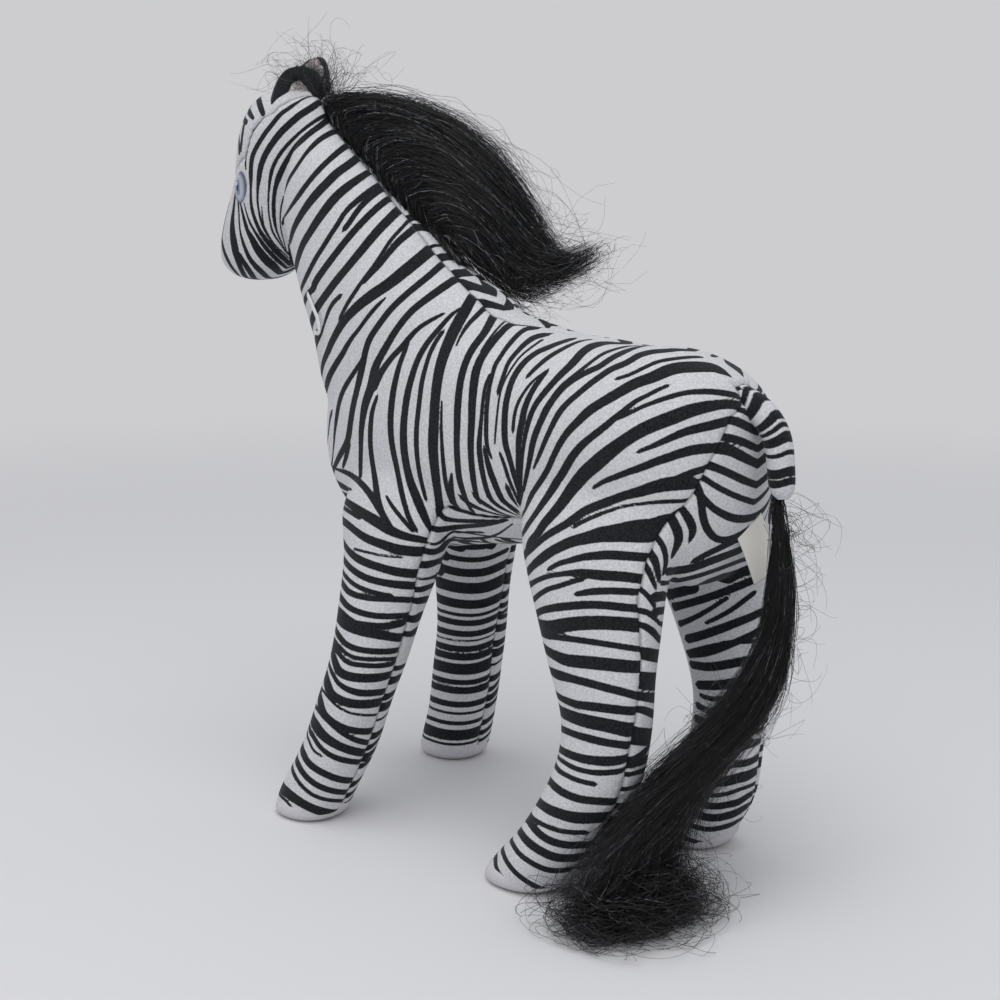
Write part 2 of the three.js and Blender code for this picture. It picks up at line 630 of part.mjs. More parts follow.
// The tail hair: a lock that hangs from the knot and ends in a loose pile on the floor.
function buildTailHair() {
  const top = TAIL_END.z + CLOTH - 2 * GAP;
  const rows = [
    [0, TAIL_END.y, top, TAIL_HAIR_RADIUS - 3.5, TAIL_HAIR_RADIUS - 3.5],
    [0, TAIL_END.y + 3, top - 34, TAIL_HAIR_RADIUS - 2, TAIL_HAIR_RADIUS - 2],
    [0, TAIL_END.y + 1, top - 68, TAIL_HAIR_RADIUS + 1, TAIL_HAIR_RADIUS],
    [6, TAIL_END.y - 5, PILE_TOP + 26, PILE_HALF_LENGTH - 22, TAIL_HAIR_RADIUS + 4],
    [14, TAIL_END.y - 11, PILE_TOP + 6, PILE_HALF_LENGTH - 12, PILE_HALF_DEPTH - 7],
    [20, TAIL_END.y - 13, PILE_TOP / 2, PILE_HALF_LENGTH - 16, PILE_HALF_DEPTH - 10],
  ];
  const lock = solidOf(loft(smooth(pathSections(rows), 2), 12));
  const pile = new THREE.SphereGeometry(1, 18, 9);
  pile.scale(PILE_HALF_LENGTH, PILE_HALF_DEPTH, PILE_TOP * 0.55);
  pile.rotateZ(rad(-8));
  pile.translate(31, TAIL_END.y - 15, PILE_TOP / 2);
  const knot = vec(0, TAIL_END.y, top);
  const legs = ['hind_left', 'hind_right'].map((name) =>
    sweptRoom(legForm(LEGS[name]), knot, vec(0, 1, 0), HAIR_SWAY_DEG),
  );
  const hair = lock.add(solidOf(pile)).intersect(above(GAP));
  place('tail_hair', legs.reduce((rest, leg) => rest.subtract(leg), hair), HAIR);
}

// Where a straight line from outside first meets a form.
function onSkin(form, from, toward) {
  const cover = new THREE.Mesh(form, new THREE.MeshBasicMaterial({ side: THREE.DoubleSide }));
  return new THREE.Raycaster(from, toward).intersectObject(cover)[0].point;
}

// The sewn-in label: one folded ribbon that hangs from a seam beside the tail.
function buildLabel() {
  const hang = (u, v) => {
    const x = LABEL_X + LABEL_WIDTH * (u - 0.5);
    const seam = onSkin(torso, vec(x, FAR, LABEL_TOP), vec(0, -1, 0));
    return vec(x, seam.y + GAP + LABEL_THICK + LABEL_FLARE * v, LABEL_TOP - LABEL_DROP * v);
  };
  const room = solidOf(grown(torso, GAP));
  place('sewn_label', solidOf(sheet(hang, 2, 3, LABEL_THICK)).subtract(room), SATIN);
}

// The bent strap of a cut-off shop tag, standing through the seam on the left of the throat.
function buildTagLoop() {
  const foot = onSkin(neck, vec(FAR, CHEST_Y - 5, POLL_Z - 82), vec(-1, 0, 0));
  foot.x += TAG_STAND;
  const run = vec(0.28, 0.6, -0.75).normalize();
  const out = vec(0.84, -0.5, -0.2).normalize();
  const points = Array.from({ length: 12 }, (_, n) => {
    const angle = rad(10) + (rad(330) * n) / 11;
    return foot
      .clone()
      .addScaledVector(run, (TAG_LENGTH / 2) * (1 - Math.cos(angle)))
      .addScaledVector(out, (TAG_WIDTH / 2) * Math.sin(angle));
  });
  const route = new THREE.CatmullRomCurve3(points);
  const wire = new THREE.Shape().absarc(0, 0, TAG_WIRE / 2, 0, 2 * Math.PI);
  const loop = new THREE.ExtrudeGeometry(wire, { steps: 24, curveSegments: 3, extrudePath: route });
  const room = [neck, torso].map((form) => solidOf(grown(form, GAP)));
  place('tag_loop', room.reduce((rest, form) => rest.subtract(form), solidOf(loop)), NYLON);
}

buildTorso();
buildNeck();
buildHead();
for (const [name, rows] of Object.entries(LEGS)) buildLeg(name, rows);
for (const [side, seat] of Object.entries(EARS)) buildEar(side, seat);
buildEye('left');
buildEye('right');
buildWeft();
buildMane();
buildTail();
buildTailHair();
buildLabel();
buildTagLoop();

// The origin is under the middle of the toy's footprint box, on the floor.
const box = new THREE.Box3().setFromObject(model);
const centre = box.getCenter(new THREE.Vector3());
model.position.set(-centre.x, -centre.y, 0);
model.updateMatrixWorld(true);

export default model;
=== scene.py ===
import bmesh
import bpy
import numpy as np
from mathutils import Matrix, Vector
from mathutils.bvhtree import BVHTree

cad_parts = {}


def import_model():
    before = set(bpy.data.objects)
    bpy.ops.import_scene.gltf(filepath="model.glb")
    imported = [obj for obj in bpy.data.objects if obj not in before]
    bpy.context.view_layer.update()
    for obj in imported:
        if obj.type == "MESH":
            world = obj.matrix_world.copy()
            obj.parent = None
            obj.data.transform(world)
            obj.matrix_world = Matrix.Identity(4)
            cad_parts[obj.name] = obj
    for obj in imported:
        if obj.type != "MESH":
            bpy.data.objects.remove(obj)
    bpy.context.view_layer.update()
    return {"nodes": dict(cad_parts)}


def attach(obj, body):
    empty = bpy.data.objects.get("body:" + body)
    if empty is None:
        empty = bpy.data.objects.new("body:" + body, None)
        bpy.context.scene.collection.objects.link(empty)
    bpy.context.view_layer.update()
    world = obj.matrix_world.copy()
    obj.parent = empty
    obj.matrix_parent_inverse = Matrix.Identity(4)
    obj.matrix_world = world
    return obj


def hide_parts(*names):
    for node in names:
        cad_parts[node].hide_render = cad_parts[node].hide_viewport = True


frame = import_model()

# ---- Camera ---------------------------------------------------------------------------------
# The toy is seen from behind its left flank, a little above the back, from about 60 cm away.
# Lengths are drawn in millimetres on the toy's own sheet; FROM_SHEET carries them to the frame.
FROM_SHEET = np.array((-6.29814, 11.80141, 0.0))
EYE_POINT = np.array((450.6, 391.7, 230.0))
FOCAL = 1596.0  # in thousandths of the frame's width


def unit(v):
    """Each vector over its length."""
    v = np.asarray(v, float)
    return v / np.maximum(np.linalg.norm(v, axis=-1, keepdims=True), 1e-9)


LOOK = unit((-0.7433, -0.6461, -0.1736))
RIGHT = unit(np.cross(LOOK, (0, 0, 1)))
UP = np.cross(RIGHT, LOOK)


def in_frame(points):
    """Sheet millimetres to frame metres: (point + FROM_SHEET) / 1000."""
    return (np.asarray(points, float) + FROM_SHEET) / 1000


def ray_through(x, y):
    """The way through (x, y) of the view: look + right (x - 500) / f - up (y - 500) / f."""
    x, y = (((np.asarray(k, float) - 500) / FOCAL)[..., None] for k in (x, y))
    return LOOK + RIGHT * x - UP * y


def seen_at(x, y, across):
    """The point on the ray through (x, y) of the view whose sheet x is `across`."""
    ray = ray_through(x, y)
    return EYE_POINT + ray * ((np.asarray(across, float) - EYE_POINT[0]) / ray[..., 0])[..., None]


camera = bpy.data.objects.new("camera", bpy.data.cameras.new("camera"))
bpy.context.scene.collection.objects.link(camera)
camera.data.sensor_width = 36
camera.data.lens = 36 * FOCAL / 1000
camera.location = in_frame(EYE_POINT)
camera.rotation_euler = Vector(LOOK).to_track_quat("-Z", "Y").to_euler()
camera.data.clip_start, camera.data.clip_end = 0.01, 20
bpy.context.scene.camera = camera


def mesh_piece(name, verts, faces, smooth=True):
    """A new object from sheet-millimetre vertices and an array (or list) of faces."""
    mesh = bpy.data.meshes.new(name)
    mesh.from_pydata(in_frame(verts).tolist(), [], np.asarray(faces).tolist()
                     if isinstance(faces, np.ndarray) else faces)
    mesh.polygons.foreach_set("use_smooth", np.full(len(mesh.polygons), smooth))
    mesh.update()
    piece = bpy.data.objects.new(name, mesh)
    bpy.context.scene.collection.objects.link(piece)
    return piece


# ---- Stuffed cover: the shape ---------------------------------------------------------------
# Printed velour sewn from side panels, gussets and inner leg panels, turned and stuffed hard.
# The cover is one taut skin: lofted torso, neck, head and legs run into each other at seams.
ROUNDNESS = 2.2  # power of the superellipse a stuffed section takes
SKIN_STEP = 0.9  # mm between the skin's vertices
FILLET_PASSES = 26  # rounds of averaging that turn the sharp joins into stretched cloth


def edge_stations(rows):
    """Rows of low (y, z), high (y, z), half width, as centre, half width and half depth vectors."""
    r = np.array(rows, float)
    o = np.zeros(len(r))
    centre = np.stack((o, (r[:, 0] + r[:, 2]) / 2, (r[:, 1] + r[:, 3]) / 2), 1)
    depth = np.stack((o, (r[:, 2] - r[:, 0]) / 2, (r[:, 3] - r[:, 1]) / 2), 1)
    return np.stack((centre, np.stack((r[:, 4], o, o), 1), depth), 1)


def leg_stations(rows):
    """Rows of x, y, z, half width, half depth of level leg sections, in the same form."""
    r = np.array(rows, float)
    o = np.zeros(len(r))
    return np.stack((r[:, :3], np.stack((r[:, 3], o, o), 1), np.stack((o, r[:, 4], o), 1)), 1)


def along(values, per_span):
    """Catmull-Rom curve through the rows: 0.5(2b + (c-a)t + (2a-5b+4c-d)t^2 + (3b-a-3c+d)t^3)."""
    v = np.asarray(values, float)
    v = np.concatenate((2 * v[:1] - v[1:2], v, 2 * v[-1:] - v[-2:-1]))
    t = np.linspace(0, 1, per_span, endpoint=False).reshape((-1,) + (1,) * (v.ndim - 1))
    spans = [
        0.5 * (2 * b + (c - a) * t + (2 * a - 5 * b + 4 * c - d) * t**2
               + (3 * b - a - 3 * c + d) * t**3)
        for a, b, c, d in zip(v[:-3], v[1:-2], v[2:-1], v[3:])
    ]
    return np.concatenate(spans + [v[-2:-1]])


def superellipse(sides, power):
    """cos and sin of `sides` even angles, each to the power 2 / power with its sign kept."""
    a = np.arange(sides) * 2 * np.pi / sides
    return [np.sign(k) * np.abs(k) ** (2 / power) for k in (np.cos(a), np.sin(a))]


def closed_rings(rings, low_end, high_end):
    """Verts and faces of rings (n, sides, 3) joined in order, with a fan to a point at each end."""
    count, sides = rings.shape[:2]
    verts = np.concatenate((rings.reshape(-1, 3), [low_end], [high_end]))
    i, j = np.meshgrid(np.arange(count - 1), np.arange(sides), indexing="ij")
    k = (j + 1) % sides
    quads = np.stack((i * sides + j, i * sides + k, (i + 1) * sides + k, (i + 1) * sides + j), -1)
    j = np.arange(sides)
    k = (j + 1) % sides
    last = (count - 1) * sides
    low = np.stack((k, j, np.full(sides, count * sides)), 1)
    high = np.stack((last + j, last + k, np.full(sides, count * sides + 1)), 1)
    return verts, quads.reshape(-1, 4).tolist() + low.tolist() + high.tolist()


def loft(stations):
    """Closed tube of superellipses: centre + U cos(a)^(2/p) + V sin(a)^(2/p), signs kept."""
    s = along(stations, 10)
    c, n = superellipse(56, ROUNDNESS)
    rings = s[:, None, 0] + c[None, :, None] * s[:, None, 1] + n[None, :, None] * s[:, None, 2]
    return closed_rings(rings, s[0, 0], s[-1, 0])


TORSO = [(-79, 138, -80, 150, 6), (-73, 120, -76, 168, 19), (-60, 108, -62, 188, 27),
         (-42, 104, -38, 199, 31), (-18, 105, -14, 201.5, 33), (20, 112, 22, 191, 34),
         (56, 117, 58, 187, 35.5), (78, 108, 82, 186.6, 36), (95, 106, 99, 182, 31),
         (107, 120, 109, 173, 20), (113, 140, 113, 158, 7)]
NECK = [(-60, 132, 12, 186, 25), (-76, 147, 0, 200, 28), (-85, 163, -17, 209, 28),
        (-90, 180, -35, 224, 25), (-97, 197, -56, 243, 22.5), (-103, 213, -75, 260, 20),
        (-108, 226, -88, 270, 17)]
HEAD = [(-104, 281.5, -118, 281, 5), (-92, 279, -127, 279, 12), (-85, 270, -133.5, 272, 17),
        (-90, 255, -137.5, 260, 19), (-99, 240, -139, 246, 19.5), (-107, 226, -145, 233, 17.5),
        (-112, 216, -151, 221, 16), (-119, 209, -152, 213, 14.5), (-128, 205, -147, 207, 9),
        (-134, 204.5, -141, 204.5, 3)]
LEGS = {
    "front_left": [(20, -26, 142, 9, 20), (24, -29, 122, 14, 26), (29, -29.5, 102, 15, 20.5),
                   (35, -31, 77, 14.5, 15.5), (40, -38, 50, 14, 14), (43.5, -47, 25, 14, 14),
                   (46, -55, 8, 14, 14.5), (48, -60, -4, 13, 14)],
    "front_right": [(-20, -30, 142, 9, 20), (-25, -34, 122, 14, 24), (-31, -40, 102, 15, 18),
                    (-36, -46, 77, 14.5, 15), (-39, -51, 50, 14, 14), (-41, -57, 25, 14, 14),
                    (-42, -62, 8, 14, 14.5), (-43, -66, -4, 13, 14)],
    "hind_left": [(16, 66, 152, 12, 30), (24, 68, 130, 17, 32), (32.2, 71, 108, 15.8, 26),
                  (35.5, 76.5, 84, 14.5, 19.5), (37.4, 79.7, 62, 13.6, 15.7), (39, 77, 42, 14, 15.5),
                  (40, 66, 22, 15, 16.5), (41, 55, 8, 15, 17), (43, 45, -4, 13, 15)],
    "hind_right": [(-16, 68, 152, 12, 30), (-22, 72, 130, 17, 32), (-25, 80, 108, 17, 26),
                   (-26, 86.5, 84, 15.5, 18), (-26, 89, 62, 14.5, 13.4), (-26, 87.2, 42, 14.5, 12.8),
                   (-27, 82.3, 22, 14.5, 14), (-28, 75.5, 8, 14.5, 14.8), (-29, 69.5, -4, 13, 13.6)],
}
FOOT_FLOOR = 2.0  # mm the filled foot stands above the floor, inside its sole

lofts = [loft(edge_stations(rows)) for rows in (TORSO, NECK, HEAD)]
lofts += [loft(leg_stations(rows)) for rows in LEGS.values()]
verts, faces, start = [], [], 0
for v, f in lofts:
    v = v.copy()
    v[:, 2] = np.maximum(v[:, 2], FOOT_FLOOR)
    verts.append(v)
    faces += [[start + k for k in face] for face in f]
    start += len(v)
skin = mesh_piece("stuffed_cover", np.concatenate(verts), faces)
skin.modifiers.new("union", "REMESH").mode = "VOXEL"
skin.modifiers["union"].voxel_size = SKIN_STEP / 1000
merged = bpy.data.meshes.new_from_object(skin.evaluated_get(bpy.context.evaluated_depsgraph_get()))
skin.modifiers.clear()
skin.data = merged

edges = np.zeros(len(merged.edges) * 2, int)
merged.edges.foreach_get("vertices", edges)
edge_a, edge_b = edges.reshape(-1, 2).T


def read_skin():
    """The skin's vertices in sheet millimetres."""
    points = np.zeros(len(merged.vertices) * 3)
    merged.vertices.foreach_get("co", points)
    return points.reshape(-1, 3) * 1000 - FROM_SHEET


skin_at = read_skin()
neighbours = np.bincount(edges, minlength=len(skin_at))


def averaged(values):
    """Each vertex value moved to the mean of its neighbours along the edges."""
    total = np.stack([
        np.bincount(edge_a, values[edge_b, k], len(values))
        + np.bincount(edge_b, values[edge_a, k], len(values)) for k in range(values.shape[1])
    ], 1)
    return total / neighbours[:, None]


def put_back(points):
    """Writes sheet-millimetre vertices into the skin's mesh and returns the vertex normals."""
    merged.vertices.foreach_set("co", in_frame(points).ravel())
    merged.update()
    normals = np.zeros(len(points) * 3, np.float32)
    merged.vertices.foreach_get("normal", normals)
    return normals.reshape(-1, 3).astype(float)


for _ in range(FILLET_PASSES):
    skin_at = 0.2 * skin_at + 0.8 * averaged(skin_at)
normal = put_back(skin_at)


def finer(mask):
    """Splits every edge of the skin whose two ends are in the mask, and reads the vertices anew."""
    form = bmesh.new()
    form.from_mesh(merged)
    form.edges.ensure_lookup_table()
    ends = np.array([(e.verts[0].index, e.verts[1].index) for e in form.edges])
    chosen = [form.edges[k] for k in np.flatnonzero(mask[ends].all(1)).tolist()]
    bmesh.ops.subdivide_edges(form, edges=chosen, cuts=1, use_grid_fill=True)
    form.to_mesh(merged)
    form.free()
    points = read_skin()
    return points, put_back(points)


def in_view(points, out, x0, y0, x1, y1):
    """Which points face the eye point and lie in the box x0..x1, y0..y1 of the view."""
    ray = points - EYE_POINT
    deep = ray @ LOOK
    x, y = 500 + FOCAL * (ray @ RIGHT) / deep, 500 - FOCAL * (ray @ UP) / deep
    facing = ((ray * out).sum(1) < 40) & (points[:, 0] > -2)
    return (x > x0) & (x < x1) & (y > y0) & (y < y1) & facing


# The print's hairlines on the left of the jaw, neck and barrel need a closer net than the rest.
skin_at, normal = finer(in_view(skin_at, normal, 225, 90, 560, 540))
skin_at, normal = finer(in_view(skin_at, normal, 235, 185, 296, 285))

tree = BVHTree.FromPolygons([Vector(p) for p in skin_at.tolist()],
                            [tuple(p.vertices) for p in merged.polygons])


def on_skin(points):
    """The nearest skin to a point, or to each point of an array."""
    points = np.asarray(points, float)
    on = [tree.find_nearest(Vector(p))[0] for p in points.reshape(-1, 3).tolist()]
    return np.array(on).reshape(points.shape)


def struck(starts, way):
    """Rays from the starts (n, 3), all going one way: which of them meet the skin, where they first
    do, and the skin's normals there."""
    hits = [tree.ray_cast(Vector(p), Vector(way))[:2] for p in np.asarray(starts, float).tolist()]
    met = np.array([at is not None for at, _ in hits])
    at, out = zip(*[hit for hit in hits if hit[0] is not None])
    return met, np.array(at), np.array(out)


def hidden_from_eye(at, out, past):
    """Where skin at these points turns from the eye point: (eye - at) . normal below -past mm."""
    return ((EYE_POINT - at) * out).sum(1) < -past


# ---- Stuffed cover: seams -------------------------------------------------------------------
# The side panels meet a strip under the mane, a strip down the face, a belly strip that runs up
# behind to the tail, and inner leg panels. Each seam pulls a fine puckered groove.
BELLY_HALF = 26.0
REAR_SEAM = ([112, 120, 127, 135, 143, 152, 161, 166, 170],
             [38.9, 37, 33.7, 28, 24, 20.5, 15.1, 12, 4.8])
BACK_SEAM = {"front": ([40, 54, 71, 81, 90, 99, 112], [-0.7, -0.6, 1.2, 1.9, 2.6, 4.6, 6]),
             "hind": ([56, 71, 86, 98, 105, 112], [5.1, 4.3, 3.9, 6.0, 7.4, 8.3])}


def leg_centre(name, z):
    """x and y of a leg's centre line at the heights z, straight between its stations."""
    rows = np.array(LEGS[name])[::-1]
    return np.interp(z, rows[:, 2], rows[:, 0]), np.interp(z, rows[:, 2], rows[:, 1])


def ease(v):
    """0 below 0, 1 above 1, and 3v^2 - 2v^3 between."""
    v = np.clip(v, 0, 1)
    return v * v * (3 - 2 * v)


def seam_distance(p):
    """Millimetres past the nearest seam: above 0 on strips and inner panels, below 0 on the sides."""
    x, y, z = np.abs(p[:, 0]), p[:, 1], p[:, 2]
    crest_line = np.interp(y, [-100, -88, -66, -10, 40], [291, 255, 240, 182, 158])
    crest_half = np.interp(y, [-20, -8, 4, 14, 24], [4.6, 7.3, 8.2, 6.5, -1])
    crest = np.where(y < 40, np.minimum(crest_half - x, z - crest_line), -9)
    face_line = np.interp(z, [200, 208, 226, 245, 250, 257, 265, 270, 272.6, 276],
                          [-150, -142, -134, -127, -123.5, -120.2, -116.6, -110.7, -100, -93])
    brow_half = np.minimum(np.interp(z, [205, 212, 235, 250, 257], [0, 5, 10, 16, 20]),
                           np.interp(y, [-112, -100, -93], [20, 12.6, 5]))
    brow = np.where(z > 200, np.minimum(brow_half - x, face_line - y), -9)
    half = np.where(y > 75, np.interp(z, *REAR_SEAM), BELLY_HALF)
    for part, side in (("front", -1), ("hind", 1)):
        for hand in ("left", "right"):
            cx, cy = leg_centre(f"{part}_{hand}", z)
            seam_x = np.abs(cx) + np.where(y > cy, np.interp(z, *BACK_SEAM[part]), 0)
            reach = np.abs(y - cy) - np.interp(z, [60, 90, 110, 140], [16, 20, 26, 30])
            near = ease(1 - reach / 14) * ease((140 - z) / 26)
            near = np.where(z < 88, 1.0 * (np.sign(y - 15) == side), near)
            if part == "hind":
                near = np.where(y > cy, 1.0 * (z < 112), near)
            near = near * (np.sign(p[:, 0]) == (1 if hand == "left" else -1))
            near = near * ((y > 15) == (side > 0))
            half = half + (seam_x - half) * near
    chest = np.clip((y + 60) / 12, 0, 1)
    half = np.where((y < -48) & (z > 100), half * chest - 1.5 * (1 - chest), half)
    top = np.interp(y, [-80, -40, 60, 95, 108, 130], [150, 150, 150, 172, 176, 178])
    below = np.minimum(half - x, top - z)
    return np.maximum(np.maximum(crest, brow), below)


